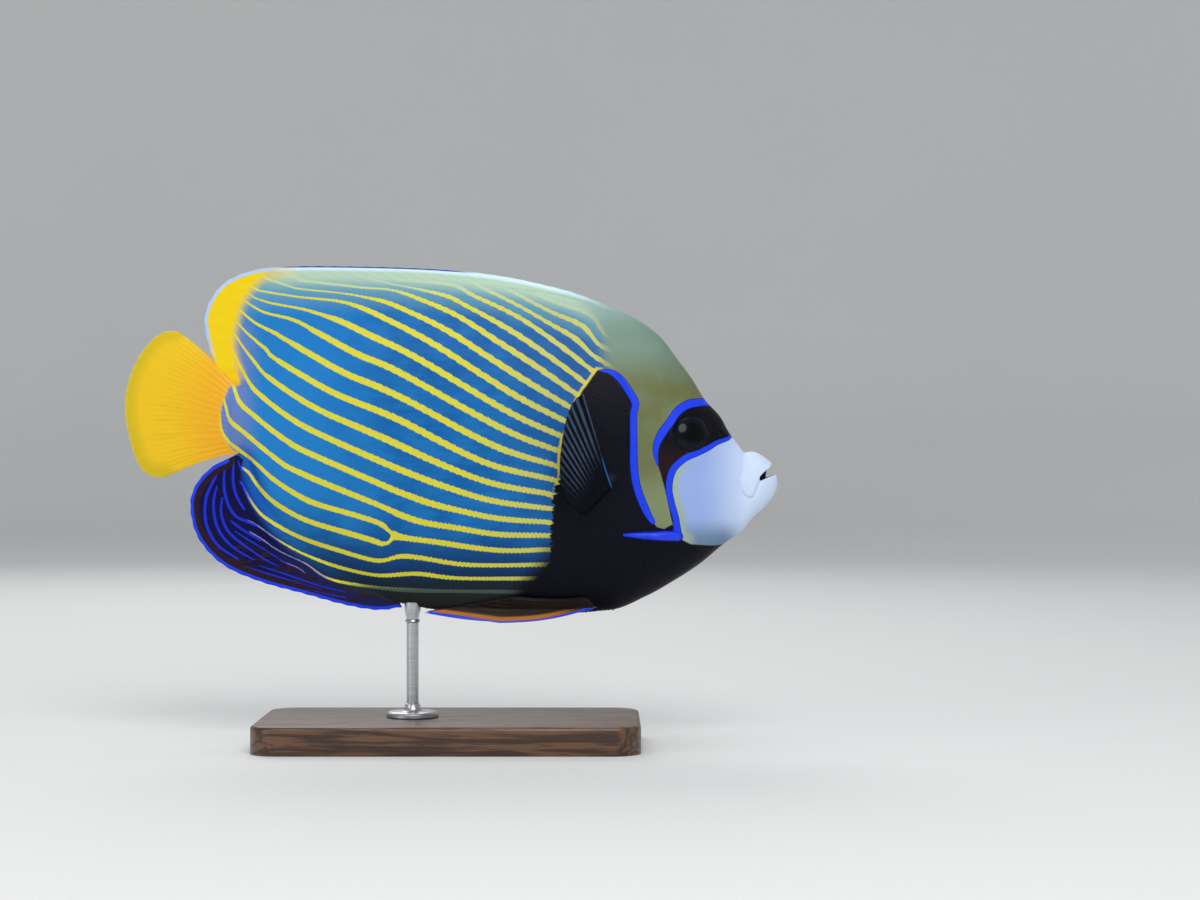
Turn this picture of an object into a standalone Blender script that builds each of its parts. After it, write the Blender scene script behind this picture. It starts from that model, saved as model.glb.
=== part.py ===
"""An adult emperor angelfish, life size, swimming on a display stand.

Metres, +Z up, head towards +X. The table top is Z = 0 and the middle of the total length is X = 0.
Heights of the fish are measured from its mid-line, which is SWIM_HEIGHT above the table.
"""

import math

import bmesh
import bpy
from mathutils import Matrix, Vector

# Driving sizes
MM = 0.001
GAP = 0.3 * MM
SWIM_HEIGHT = 150 * MM
TAIL_BASE_X = -108.5 * MM
STALK_CUT_X = -101.0 * MM
SNOUT_X = 148.0 * MM
WIDEST_HALF = 24.5 * MM

# The back and the belly of the body without its fins: (x, height) from the tail base to the snout
BACK = (
    (-0.1085, 0.0290), (-0.1010, 0.0292), (-0.0960, 0.0308), (-0.0915, 0.0340), (-0.0850, 0.0420),
    (-0.0750, 0.0530), (-0.0580, 0.0648), (-0.0365, 0.0738), (-0.0125, 0.0782), (0.0150, 0.0795),
    (0.0450, 0.0768), (0.0700, 0.0708), (0.0850, 0.0662), (0.0955, 0.0615), (0.1050, 0.0542),
    (0.1140, 0.0425), (0.1210, 0.0330), (0.1275, 0.0225), (0.1350, 0.0142), (0.1395, 0.0062),
    (0.1440, 0.0002), (0.1480, -0.0035),
)
BELLY = (
    (-0.1085, -0.0045), (-0.1035, -0.0058), (-0.1005, -0.0085), (-0.0970, -0.0180), (-0.0940, -0.0262),
    (-0.0885, -0.0352), (-0.0825, -0.0425), (-0.0650, -0.0572), (-0.0450, -0.0698), (-0.0250, -0.0788),
    (-0.0050, -0.0822), (0.0250, -0.0838), (0.0550, -0.0838), (0.0810, -0.0822), (0.0985, -0.0753),
    (0.1110, -0.0683), (0.1250, -0.0592), (0.1360, -0.0500), (0.1465, -0.0425), (0.1480, -0.0410),
)
# Half width of the body at its widest height, and how far down that height lies as a share of the depth
HALF_WIDTH = (
    (-0.1085, 0.0048), (-0.1010, 0.0062), (-0.0900, 0.0090), (-0.0700, 0.0132), (-0.0400, 0.0182),
    (0.0000, 0.0222), (0.0400, 0.0243), (0.0750, WIDEST_HALF), (0.0950, 0.0238), (0.1100, 0.0212),
    (0.1220, 0.0180), (0.1320, 0.0148), (0.1400, 0.0116), (0.1480, 0.0088),
)
WIDEST_SHARE = (
    (-0.1085, 0.50), (-0.0500, 0.46), (0.0200, 0.44), (0.0900, 0.50), (0.1200, 0.52), (0.1480, 0.50),
)
# Half width of the flat crest that carries the dorsal fin, and of the keel that carries the anal fin
CREST_HALF = (
    (-0.1085, 0.0008), (-0.1000, 0.0010), (-0.0940, 0.0018), (-0.0600, 0.0026), (0.0200, 0.0028),
    (0.0700, 0.0020), (0.0860, 0.0012), (0.1000, 0.0008), (0.1480, 0.0008),
)
KEEL_HALF = (
    (-0.1085, 0.0008), (-0.1030, 0.0010), (-0.0980, 0.0018), (-0.0700, 0.0024), (-0.0300, 0.0018),
    (-0.0200, 0.0010), (0.1480, 0.0008),
)
# Roundness of the section above and below the widest height: 0.5 is an ellipse, 1 tapers like a lens
BACK_TAPER = (
    (-0.1085, 0.50), (-0.0980, 0.62), (-0.0700, 0.86), (0.0300, 0.84), (0.0900, 0.62), (0.1150, 0.52),
    (0.1480, 0.50),
)
BELLY_TAPER = (
    (-0.1085, 0.50), (-0.1000, 0.62), (-0.0700, 0.84), (-0.0200, 0.70), (0.0500, 0.58), (0.1480, 0.50),
)
FLANK_POWER = 2.2
BODY_POINTS = 21

# The rear edge of the gill cover, which parts the head from the trunk: (height, x) from throat to nape
GILL_EDGE = (
    (-0.0840, 0.0870), (-0.0730, 0.0925), (-0.0610, 0.0985), (-0.0480, 0.1010), (-0.0360, 0.0995),
    (-0.0220, 0.0950), (-0.0110, 0.0920), (0.0030, 0.0910), (0.0180, 0.0925), (0.0280, 0.0895),
    (0.0370, 0.0840), (0.0520, 0.0805), (0.0700, 0.0790),
)
# The rear edge of the cheek plate in front of it: (height, x) from its lower corner up to the eye
CHEEK_EDGE = (
    (-0.0500, 0.1200), (-0.0430, 0.1165), (-0.0300, 0.1130), (-0.0150, 0.1115), (-0.0060, 0.1150),
    (0.0020, 0.1260),
)
GILL_RAISE = 0.9 * MM
CHEEK_RAISE = 0.9 * MM
EDGE_SOFTNESS = 3.0 * MM
# Where the raised gill cover and cheek plate have faded out, and where they are full
GILL_FADE = (SNOUT_X, 110 * MM)
CHEEK_FADE = (146 * MM, 128 * MM)
CHEEK_TOP_FADE = (4 * MM, -4 * MM)

# Eye: seen radius 9 mm, its dome standing a little out of the orbit
EYE_CENTRE = (120.0 * MM, 5.5 * MM)
EYE_RADIUS = 10.8 * MM
EYE_DOME = 6.0 * MM
EYE_SUNK = 2.9 * MM
BROW_RAISE = 1.0 * MM
BROW_SPREAD = 0.5
NOSTRILS = ((135.0 * MM, 5.6 * MM, 1.2 * MM), (137.8 * MM, 4.0 * MM, 0.9 * MM))

# Cheek spine, from the lower corner of the cheek plate back over the gill cover: (x, height, radius)
CHEEK_SPINE = (
    (0.1230, -0.0442, 0.0016), (0.1175, -0.0441, 0.0021), (0.1110, -0.0437, 0.0020),
    (0.1040, -0.0442, 0.0018), (0.0960, -0.0448, 0.0014), (0.0885, -0.0449, 0.0006),
)
SPINE_CLEARANCE = 1.0 * MM
SPINE_LEAVES_CHEEK = (116 * MM, 102 * MM)
SPINE_ROOT_DEPTH = 1.6

# Jaws: (x, top, bottom, half width) from the snout to the lips
UPPER_JAW = (
    (0.1483, -0.0037, -0.0167, 0.0087), (0.1505, -0.0033, -0.0168, 0.0093),
    (0.1530, -0.0036, -0.0166, 0.0094), (0.1555, -0.0046, -0.0157, 0.0087),
    (0.1578, -0.0062, -0.0140, 0.0072), (0.1595, -0.0079, -0.0122, 0.0051),
    (0.1605, -0.0093, -0.0107, 0.0028),
)
LOWER_JAW = (
    (0.1483, -0.0171, -0.0408, 0.0087), (0.1510, -0.0171, -0.0376, 0.0092),
    (0.1540, -0.0170, -0.0342, 0.0091), (0.1570, -0.0164, -0.0311, 0.0083),
    (0.1598, -0.0156, -0.0282, 0.0070), (0.1620, -0.0151, -0.0254, 0.0053),
    (0.1633, -0.0152, -0.0226, 0.0037), (0.1638, -0.0166, -0.0204, 0.0020),
)
# How square a jaw's section is at the mouth line, at the snout and at the tip of the lip
LIP_EDGE = (9.0, 2.2)
LIP_LEAST_HALF = 0.4 * MM

# Outer edges of the middle fins: (x, height), each in the order of its rays
DORSAL_EDGE = (
    (0.0782, 0.0701), (0.0560, 0.0778), (0.0285, 0.0840), (0.0000, 0.0874), (-0.0350, 0.0890),
    (-0.0800, 0.0893), (-0.1000, 0.0870), (-0.1140, 0.0803), (-0.1217, 0.0685), (-0.1225, 0.0575),
    (-0.1185, 0.0430), (-0.1130, 0.0345), (-0.1070, 0.0312),
)
DORSAL_BASE = (0.0790, -0.0962)
DORSAL_RAYS = 34
ANAL_EDGE = (
    (-0.0240, -0.0812), (-0.0365, -0.0826), (-0.0525, -0.0800), (-0.0725, -0.0746), (-0.0955, -0.0682),
    (-0.1140, -0.0597), (-0.1262, -0.0462), (-0.1300, -0.0305), (-0.1270, -0.0195), (-0.1192, -0.0110),
    (-0.1122, -0.0074),
)
ANAL_BASE = (-0.0262, -0.1002)
ANAL_RAYS = 24
CAUDAL_EDGE = (
    (-0.1375, 0.0575), (-0.1440, 0.0568), (-0.1510, 0.0520), (-0.1575, 0.0430), (-0.1620, 0.0320),
    (-0.1637, 0.0205), (-0.1620, 0.0060), (-0.1565, -0.0105), (-0.1490, -0.0162), (-0.1435, -0.0163),
)
CAUDAL_RAYS = 17
CAUDAL_BOW = (2.4 * MM, 1.5 * MM)
CAUDAL_SWING = 5.0 * MM

# Paired fins. Pectoral: base and tip lines from the leading to the trailing ray, each (x, height)
PECTORAL_BASE = ((0.0805, -0.0205), (0.0670, -0.0345))
PECTORAL_TIPS = (
    (0.0668, 0.0252), (0.0615, 0.0200), (0.0580, 0.0100), (0.0560, -0.0025), (0.0555, -0.0150),
    (0.0580, -0.0265),
)
PECTORAL_SPREAD = (22 * MM, 13 * MM)
PECTORAL_RAYS = 18
PECTORAL_ROOT_HALF = 1.0 * MM
# Pelvic: base from the spine to the inner ray, then each ray's tip (x, height) and its sag
PELVIC_BASE = ((0.0735, -0.0805), (0.0690, -0.0755))
PELVIC_RAYS = (
    (0.0250, -0.0885, 0.0022), (-0.0125, -0.0835, 0.0062), (0.0000, -0.0812, 0.0045),
    (0.0120, -0.0790, 0.0030), (0.0230, -0.0768, 0.0018), (0.0330, -0.0750, 0.0010),
)
PELVIC_SPREAD = 2.0 * MM
PELVIC_ABOVE_KEEL = 2.5 * MM
PELVIC_ROOT_HALF = 0.9 * MM

# Thickness of the fins
EDGE_HALF = 0.42 * MM
RAY_RIDGE = 0.28 * MM
NOTCH = 0.8 * MM

# Display stand
BASE_SIZE = (190 * MM, 100 * MM, 14 * MM)
BASE_CORNER = 14 * MM
BASE_BEVEL = 2.0 * MM
ROD_X = -18.7 * MM
ROD_RADIUS = 3.0 * MM
ROD_FOOT_RADIUS = 13 * MM
ROD_FOOT_HEIGHT = 3.0 * MM
ROD_CUP_RADIUS = 4.0 * MM
ROD_CUP_HEIGHT = 6.0 * MM
ROD_INTO_BELLY = 2.0 * MM

# Materials: name, colour, roughness, metallic
SKIN_BLUE = ("striped_skin", (0.03, 0.22, 0.52), 0.42, 0.0)
SKIN_HEAD = ("head_skin", (0.40, 0.42, 0.24), 0.42, 0.0)
SKIN_PALE = ("pale_lip", (0.72, 0.76, 0.90), 0.40, 0.0)
FIN_YELLOW = ("tail_fin_membrane", (0.90, 0.55, 0.03), 0.45, 0.0)
FIN_NAVY = ("anal_fin_membrane", (0.02, 0.03, 0.25), 0.40, 0.0)
FIN_GREY = ("pectoral_membrane", (0.10, 0.12, 0.15), 0.40, 0.0)
FIN_BROWN = ("pelvic_membrane", (0.20, 0.08, 0.02), 0.40, 0.0)
EYE_DARK = ("eye_gloss", (0.01, 0.012, 0.02), 0.08, 0.0)
STAND_WOOD = ("stand_wood", (0.16, 0.09, 0.05), 0.45, 0.0)
STAND_STEEL = ("stand_steel", (0.55, 0.55, 0.57), 0.30, 1.0)


def smooth_function(knots):
    """A smooth function through (position, value) knots that never overshoots them."""
    xs = [knot[0] for knot in knots]
    ys = [knot[1] for knot in knots]
    steps = [b - a for a, b in zip(xs, xs[1:])]
    secants = [(b - a) / step for a, b, step in zip(ys, ys[1:], steps)]
    slopes = [secants[0]]
    for before, after in zip(secants, secants[1:]):
        slopes.append(0.0 if before * after <= 0 else 2 * before * after / (before + after))
    slopes.append(secants[-1])

    def at(x):
        x = min(max(x, xs[0]), xs[-1])
        i = 0
        while i < len(steps) - 1 and x > xs[i + 1]:
            i += 1
        t = (x - xs[i]) / steps[i]
        rise = 3 * t * t - 2 * t ** 3
        start = (t ** 3 - 2 * t * t + t) * steps[i] * slopes[i]
        end = (t ** 3 - t * t) * steps[i] * slopes[i + 1]
        return ys[i] * (1 - rise) + ys[i + 1] * rise + start + end

    return at


def smooth_path(points, steps=10):
    """A dense Catmull-Rom path through points, as Vectors."""
    points = [Vector(point) for point in points]
    ends = [2 * points[0] - points[1], *points, 2 * points[-1] - points[-2]]
    path = []
    for a, b, c, d in zip(ends, ends[1:], ends[2:], ends[3:]):
        for k in range(steps):
            t = k / steps
            bend = (2 * a - 5 * b + 4 * c - d) * t * t + (3 * b - a - 3 * c + d) * t ** 3
            path.append(0.5 * (2 * b + (c - a) * t + bend))
    return [*path, points[-1]]


def along(path, share):
    """The point at this share of a path's length."""
    lengths = [(b - a).length for a, b in zip(path, path[1:])]
    left = share * sum(lengths)
    for a, b, length in zip(path, path[1:], lengths):
        if left <= length:
            return a.lerp(b, left / length)
        left -= length
    return path[-1]


def smoothstep(low, high, value):
    """0 below low, 1 above high, smooth in between."""
    t = min(max((value - low) / (high - low), 0.0), 1.0)
    return t * t * (3 - 2 * t)


back = smooth_function(BACK)
belly = smooth_function(BELLY)
widest_half = smooth_function(HALF_WIDTH)
widest_share = smooth_function(WIDEST_SHARE)
crest_half = smooth_function(CREST_HALF)
keel_half = smooth_function(KEEL_HALF)
back_taper = smooth_function(BACK_TAPER)
belly_taper = smooth_function(BELLY_TAPER)
gill_edge = smooth_function(GILL_EDGE)
cheek_edge = smooth_function(CHEEK_EDGE)


def half_width(x, z):
    """Half the thickness of the body at a point of its side view, with the relief of the head."""
    share = min(max((back(x) - z) / (back(x) - belly(x)), 0.0), 1.0)
    widest = widest_share(x)
    if share < widest:
        reach, edge, taper = (widest - share) / widest, crest_half(x), back_taper(x)
    else:
        reach, edge, taper = (share - widest) / (1 - widest), keel_half(x), belly_taper(x)
    smooth = edge + (widest_half(x) - edge) * max(1 - reach ** FLANK_POWER, 0.0) ** taper
    inside = 1 - reach ** 4
    gill = GILL_RAISE * smoothstep(-GAP, GAP, x - gill_edge(z)) * smoothstep(*GILL_FADE, x)
    cheek = CHEEK_RAISE * smoothstep(0, EDGE_SOFTNESS, x - cheek_edge(z)) * smoothstep(*CHEEK_FADE, x)
    from_eye = math.dist((x, z), EYE_CENTRE) / EYE_RADIUS
    brow = BROW_RAISE * math.exp(-(((from_eye - 1.0) / BROW_SPREAD) ** 2))
    return smooth + inside * (gill + cheek * smoothstep(*CHEEK_TOP_FADE, z) + brow)


def section(place, points):
    """The right half of a body section from back to belly, where place(height) gives each point's x."""
    ring = []
    for i in range(points):
        share = 0.5 - 0.5 * math.cos(math.pi * i / (points - 1))
        z = 0.0
        for _ in range(12):
            x = place(z)
            z = back(x) + (belly(x) - back(x)) * share
        x = place(z)
        ring.append(Vector((x, -half_width(x, z), z)))
    return ring


def sections_between(shares, step, end):
    """Half sections at these shares of the way from the gill cover's edge, moved by step, to x = end."""
    return [
        section(lambda z, share=share: (gill_edge(z) + step) * (1 - share) + end * share, BODY_POINTS)
        for share in shares
    ]


def bilateral_loft(name, rings):
    """A closed mesh through half rings, each mirrored across the fish's middle plane."""
    mesh = bmesh.new()
    whole = []
    for ring in rings:
        right = [mesh.verts.new(point) for point in ring]
        left = [mesh.verts.new((point.x, -point.y, point.z)) for point in ring]
        whole.append([*right, *reversed(left)])
    count = len(whole[0])
    for a, b in zip(whole, whole[1:]):
        for i in range(count):
            j = (i + 1) % count
            mesh.faces.new((a[i], a[j], b[j], b[i]))
    for end in (whole[0], whole[-1]):
        for i in range(count // 2 - 1):
            mesh.faces.new((end[i], end[i + 1], end[count - 2 - i], end[count - 1 - i]))
    return finished_object(name, mesh)


def finished_object(name, mesh):
    """An object in the fish's collection from a bmesh, with its faces turned outwards."""
    bmesh.ops.recalc_face_normals(mesh, faces=mesh.faces)
    if mesh.calc_volume(signed=True) < 0:
        bmesh.ops.reverse_faces(mesh, faces=mesh.faces)
    data = bpy.data.meshes.new(name)
    mesh.to_mesh(data)
    mesh.free()
    obj = bpy.data.objects.new(name, data)
    parts_collection.objects.link(obj)
    return obj


def normal_of(middle, share, reach):
    """The unit normal of a fin's middle surface."""
    step = 0.02
    low, high = max(share - step, 0.0), min(share + step, 1.0)
    inner, outer = max(reach - step, 0.0), min(reach + step, 1.0)
    over = middle(high, reach) - middle(low, reach)
    out = middle(share, outer) - middle(share, inner)
    return over.cross(out).normalized()


def fin_solid(name, middle, half_thickness, rays, rows, seat=None):
    """A closed fin whose rays are ridges raised in both faces of its membrane.

    middle(share, reach) is the middle surface, share 0 to 1 over the rays and reach 0 at the root
    and 1 at the tip. half_thickness(share, reach) leaves out the ridge. seat(share, outer) gives a
    root point of the outer or inner face of a paired fin. Both faces are split into triangles alike.
    """
    columns = 2 * (rays - 1) + 1
    mesh = bmesh.new()
    faces = []
    for sign in (-1, 1):
        face = []
        for i in range(columns):
            share = i / (columns - 1)
            on_ray = i % 2 == 0
            length = (middle(share, 1.0) - middle(share, 0.0)).length
            cut = 0.0 if on_ray else min(NOTCH / max(length, NOTCH), 0.15)
            column = []
            for j in range(rows + 1):
                reach = j / rows
                half = half_thickness(share, reach) + (RAY_RIDGE * (1 - 0.5 * reach) if on_ray else 0.0)
                normal = normal_of(middle, share, reach) * sign
                if seat and j == 0:
                    point = seat(share, normal.y < 0)
                else:
                    point = middle(share, reach * (1 - cut)) + normal * half
                column.append(mesh.verts.new(point))
            face.append(column)
        faces.append(face)
    near, far = faces
    for face in faces:
        for a, b in zip(face, face[1:]):
            for j in range(rows):
                mesh.faces.new((a[j], b[j], b[j + 1]))
                mesh.faces.new((a[j], b[j + 1], a[j + 1]))
    for i in range(columns - 1):
        for j in (0, rows):
            mesh.faces.new((near[i][j], near[i + 1][j], far[i + 1][j]))
            mesh.faces.new((near[i][j], far[i + 1][j], far[i][j]))
    for i in (0, columns - 1):
        for j in range(rows):
            mesh.faces.new((near[i][j], near[i][j + 1], far[i][j + 1]))
            mesh.faces.new((near[i][j], far[i][j + 1], far[i][j]))
    return finished_object(name, mesh)


def boolean(obj, operation, tools, solver="EXACT"):
    """Joins or cuts a mesh with several tool objects in one applied modifier, then removes the tools."""
    group = bpy.data.collections.new("tools")
    bpy.context.scene.collection.children.link(group)
    for tool in tools:
        for owner in list(tool.users_collection):
            owner.objects.unlink(tool)
        group.objects.link(tool)
    modifier = obj.modifiers.new(operation.lower(), "BOOLEAN")
    modifier.operation = operation
    modifier.solver = solver
    modifier.operand_type = "COLLECTION"
    modifier.collection = group
    bake_modifiers(obj)
    for tool in tools:
        bpy.data.objects.remove(tool)
    bpy.data.collections.remove(group)


def bake_modifiers(obj):
    """Replaces an object's mesh by the one that its modifiers make."""
    bpy.context.view_layer.update()
    evaluated = obj.evaluated_get(bpy.context.evaluated_depsgraph_get())
    mesh = bpy.data.meshes.new_from_object(evaluated)
    obj.modifiers.clear()
    obj.data = mesh


def keep_largest_surface(obj):
    """Drops every closed surface of a mesh but the largest."""
    mesh = bmesh.new()
    mesh.from_mesh(obj.data)
    left = set(mesh.verts)
    surfaces = []
    while left:
        found = set()
        edge = [left.pop()]
        while edge:
            vert = edge.pop()
            found.add(vert)
            near = {link.other_vert(vert) for link in vert.link_edges} & left
            left -= near
            edge.extend(near)
        surfaces.append(found)
    largest = max(surfaces, key=len)
    loose = [vert for vert in mesh.verts if vert not in largest]
    bmesh.ops.delete(mesh, geom=loose, context="VERTS")
    mesh.to_mesh(obj.data)
    mesh.free()


def ellipsoid(name, centre, radii, facing, segments=20):
    """A sphere of radii (across, along its facing) at centre, its axis on the facing direction."""
    mesh = bmesh.new()
    bmesh.ops.create_uvsphere(mesh, u_segments=segments, v_segments=segments // 2, radius=1.0)
    for vert in mesh.verts:
        vert.co = Vector((vert.co.x * radii[0], vert.co.y * radii[0], vert.co.z * radii[1]))
    mesh.transform(Matrix.Translation(centre) @ facing.to_track_quat("Z", "Y").to_matrix().to_4x4())
    return finished_object(name, mesh)


def right_side_facing(x, z, span):
    """The outward direction of the right side of the head, measured over a span about a point."""
    slope_x = (half_width(x + span, z) - half_width(x - span, z)) / (2 * span)
    slope_z = (half_width(x, z + span) - half_width(x, z - span)) / (2 * span)
    return Vector((-slope_x, -1.0, -slope_z)).normalized()


def right_eye(name, clearance=0.0):
    """The right eyeball, or its orbit's cutter with a clearance."""
    x, z = EYE_CENTRE
    facing = right_side_facing(x, z, EYE_RADIUS)
    rim = [(x + EYE_RADIUS, z), (x - EYE_RADIUS, z), (x, z + EYE_RADIUS), (x, z - EYE_RADIUS)]
    level = sum(half_width(*spot) for spot in rim) / len(rim)
    centre = Vector((x, -level, z)) - facing * EYE_SUNK
    return ellipsoid(name, centre, (EYE_RADIUS + clearance, EYE_DOME + clearance), facing)


def right_nostril(spot):
    """A cutter for a small pit in front of the eye."""
    x, z, radius = spot
    facing = right_side_facing(x, z, radius)
    return ellipsoid("nostril", Vector((x, -half_width(x, z), z)), (radius, radius * 1.6), facing, 8)


def cheek_spine(side):
    """The long spine at the lower corner of the cheek plate, a tapering tube with its root in the head."""
    curve = bpy.data.curves.new("cheek_spine", "CURVE")
    curve.dimensions = "3D"
    curve.bevel_depth = 1.0
    curve.bevel_resolution = 2
    curve.use_fill_caps = True
    spline = curve.splines.new("POLY")
    spline.points.add(len(CHEEK_SPINE) - 1)
    for i, (point, (x, z, radius)) in enumerate(zip(spline.points, CHEEK_SPINE)):
        clear = SPINE_CLEARANCE * smoothstep(*SPINE_LEAVES_CHEEK, x) + radius * 0.3
        over = -SPINE_ROOT_DEPTH * radius if i == 0 else clear
        on_head = half_width(max(x, gill_edge(z) + MM), z)
        point.co = (x, side * (on_head + over), z, 1.0)
        point.radius = radius
    guide = bpy.data.objects.new("cheek_spine_guide", curve)
    parts_collection.objects.link(guide)
    bpy.context.view_layer.update()
    evaluated = guide.evaluated_get(bpy.context.evaluated_depsgraph_get())
    data = bpy.data.meshes.new_from_object(evaluated)
    mesh = bmesh.new()
    mesh.from_mesh(data)
    bmesh.ops.remove_doubles(mesh, verts=mesh.verts, dist=0.01 * MM)
    bpy.data.objects.remove(guide)
    return finished_object("cheek_spine", mesh)


def make_head():
    """The head, from the gill cover's edge to the snout, with orbits, nostrils and cheek spines."""
    stations = 20
    shares = [k / (stations - 1) for k in range(stations)]
    head = bilateral_loft("head", sections_between(shares, GAP / 2, SNOUT_X))
    boolean(head, "UNION", [cheek_spine(-1), cheek_spine(1)])
    cutters = [right_eye("orbit", GAP), *(right_nostril(spot) for spot in NOSTRILS)]
    cutters += [mirrored(cutter, cutter.name) for cutter in cutters]
    boolean(head, "DIFFERENCE", cutters)
    keep_largest_surface(head)
    return head


def trunk_rings():
    """The trunk's half sections, from the gill cover's edge back to the tail stalk, closer together there."""
    stations = 24
    shares = [1 - (1 - k / (stations - 1)) ** 1.35 for k in range(stations)]
    return sections_between(shares, -GAP / 2, STALK_CUT_X)


def make_tail_stalk():
    """The short stalk between the trunk and the tail fin."""
    stations = 5
    start, end = TAIL_BASE_X, STALK_CUT_X - GAP
    places = [start + (end - start) * k / (stations - 1) for k in range(stations)]
    return bilateral_loft("tail_stalk", [section(lambda z, place=place: place, 13) for place in places])


def make_jaw(name, stations, mouth):
    """A jaw with its lip, from the snout's own section to a rounded tip.

    mouth is 1 where the mouth line is the jaw's top, and -1 where it is its bottom.
    """
    rings = []
    points = 13
    for k, (x, top, bottom, half) in enumerate(stations):
        edge_power = LIP_EDGE[0] + (LIP_EDGE[1] - LIP_EDGE[0]) * k / (len(stations) - 1)
        ring = []
        for i in range(points):
            down = 0.5 - 0.5 * math.cos(math.pi * i / (points - 1))
            from_face = 1 - down if mouth > 0 else down
            width = math.sqrt(1 - (1 - from_face) ** FLANK_POWER) * math.sqrt(1 - from_face ** edge_power)
            ring.append(Vector((x, -max(half * width, LIP_LEAST_HALF), top + (bottom - top) * down)))
        rings.append(ring)
    return bilateral_loft(name, rings)


def flat(point):
    """A side-view point (x, height) in the middle plane."""
    return Vector((point[0], 0, point[1]))


def root_line(line, outward, front, rear):
    """The trunk's back or belly line between two stations, raised by the touching gap, front to rear."""
    raised = []
    for i, point in enumerate(line):
        run = (line[min(i + 1, len(line) - 1)] - line[max(i - 1, 0)]).normalized()
        raised.append(point + Vector((run.z, 0, -run.x)) * outward * GAP)
    return [point for point in raised if rear <= point.x <= front]


def make_middle_fin(name, edge, root, crest, rays, rows):
    """The dorsal or anal fin: rays from its root line on the trunk out to the fin's edge."""
    edge_path = smooth_path([flat(point) for point in edge])

    def middle(share, reach):
        return along(root, share).lerp(along(edge_path, share), reach)

    def half_thickness(share, reach):
        half = crest(along(root, share).x) - RAY_RIDGE
        return EDGE_HALF + (half - EDGE_HALF) * (1 - reach) ** 1.4

    return fin_solid(name, middle, half_thickness, rays, rows)


def make_caudal_fin():
    """The tail fin: a fan from the end of the stalk, swung a little to the fish's left."""
    edge_path = smooth_path([flat(point) for point in CAUDAL_EDGE])
    top = flat((TAIL_BASE_X - GAP, back(TAIL_BASE_X) - 0.8 * MM))
    bottom = flat((TAIL_BASE_X - GAP, belly(TAIL_BASE_X) + 0.8 * MM))

    def middle(share, reach):
        point = top.lerp(bottom, share).lerp(along(edge_path, share), reach)
        bow = CAUDAL_BOW[0] * (1 - share) + CAUDAL_BOW[1] * share
        return point + Vector((0, CAUDAL_SWING * reach * reach, bow * math.sin(math.pi * reach)))

    def half_thickness(share, reach):
        root = half_width(TAIL_BASE_X, top.lerp(bottom, share).z) - RAY_RIDGE
        return EDGE_HALF + (root - EDGE_HALF) * (1 - reach) ** 4

    return fin_solid("caudal_fin", middle, half_thickness, CAUDAL_RAYS, 8)


def seat_on_body(base, half):
    """Root points of a right-hand paired fin, on the body's side with the touching gap."""
    across = (base[1] - base[0]).normalized()
    forward = Vector((-across.z, 0, across.x))

    def seat(share, outer):
        point = base[0].lerp(base[1], share) + forward * (half if outer else -half)
        return Vector((point.x, -half_width(point.x, point.z) - GAP, point.z))

    return seat


def make_pectoral_fin():
    """The right pectoral fin, raised and part closed, its leading ray foremost."""
    base = [flat(point) for point in PECTORAL_BASE]
    tips = smooth_path([flat(point) for point in PECTORAL_TIPS])

    def middle(share, reach):
        root = base[0].lerp(base[1], share)
        point = root.lerp(along(tips, share), reach)
        spread = PECTORAL_SPREAD[0] * (1 - share) + PECTORAL_SPREAD[1] * share
        return Vector((point.x, -half_width(root.x, root.z) - GAP - spread * reach ** 0.7, point.z))

    def half_thickness(share, reach):
        return EDGE_HALF + PECTORAL_ROOT_HALF * (1 - reach) ** 3

    seat = seat_on_body(base, PECTORAL_ROOT_HALF)
    return fin_solid("pectoral_fin_right", middle, half_thickness, PECTORAL_RAYS, 6, seat)


def make_pelvic_fin():
    """The right pelvic fin, folded back along the belly with its spine as the lower edge."""
    base = [flat(point) for point in PELVIC_BASE]

    def ray_at(share):
        place = share * (len(PELVIC_RAYS) - 1)
        i = min(int(place), len(PELVIC_RAYS) - 2)
        return Vector(PELVIC_RAYS[i]).lerp(Vector(PELVIC_RAYS[i + 1]), place - i)

    def middle(share, reach):
        tip_x, tip_z, sag = ray_at(share)
        point = base[0].lerp(base[1], share).lerp(flat((tip_x, tip_z)), reach)
        z = point.z - sag * math.sin(math.pi * reach)
        beside = half_width(point.x, max(z, belly(point.x) + PELVIC_ABOVE_KEEL))
        return Vector((point.x, -beside - GAP - PELVIC_SPREAD * smoothstep(0.0, 0.12, reach), z))

    def half_thickness(share, reach):
        return EDGE_HALF + PELVIC_ROOT_HALF * (1 - reach) ** 3

    seat = seat_on_body(base, PELVIC_ROOT_HALF)
    return fin_solid("pelvic_fin_right", middle, half_thickness, len(PELVIC_RAYS), 12, seat)


def mirrored(right, name):
    """The left-hand copy of a right-hand piece."""
    mesh = bmesh.new()
    mesh.from_mesh(right.data)
    for vert in mesh.verts:
        vert.co.y = -vert.co.y
    return finished_object(name, mesh)


def make_stand_base():
    """The flat base: a board with round corners and eased edges."""
    mesh = bmesh.new()
    bmesh.ops.create_cube(mesh, size=1.0)
    for vert in mesh.verts:
        x, y, z = vert.co
        vert.co = Vector((x * BASE_SIZE[0], y * BASE_SIZE[1], (z + 0.5) * BASE_SIZE[2]))
    upright = [e for e in mesh.edges if abs(e.verts[0].co.z - e.verts[1].co.z) > BASE_SIZE[2] / 2]
    bmesh.ops.bevel(mesh, geom=upright, offset=BASE_CORNER, segments=6, profile=0.5, affect="EDGES")
    top = [e for e in mesh.edges if all(v.co.z > BASE_SIZE[2] * 0.9 for v in e.verts)]
    bmesh.ops.bevel(mesh, geom=top, offset=BASE_BEVEL, segments=2, profile=0.5, affect="EDGES")
    return finished_object("stand_base", mesh)


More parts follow.
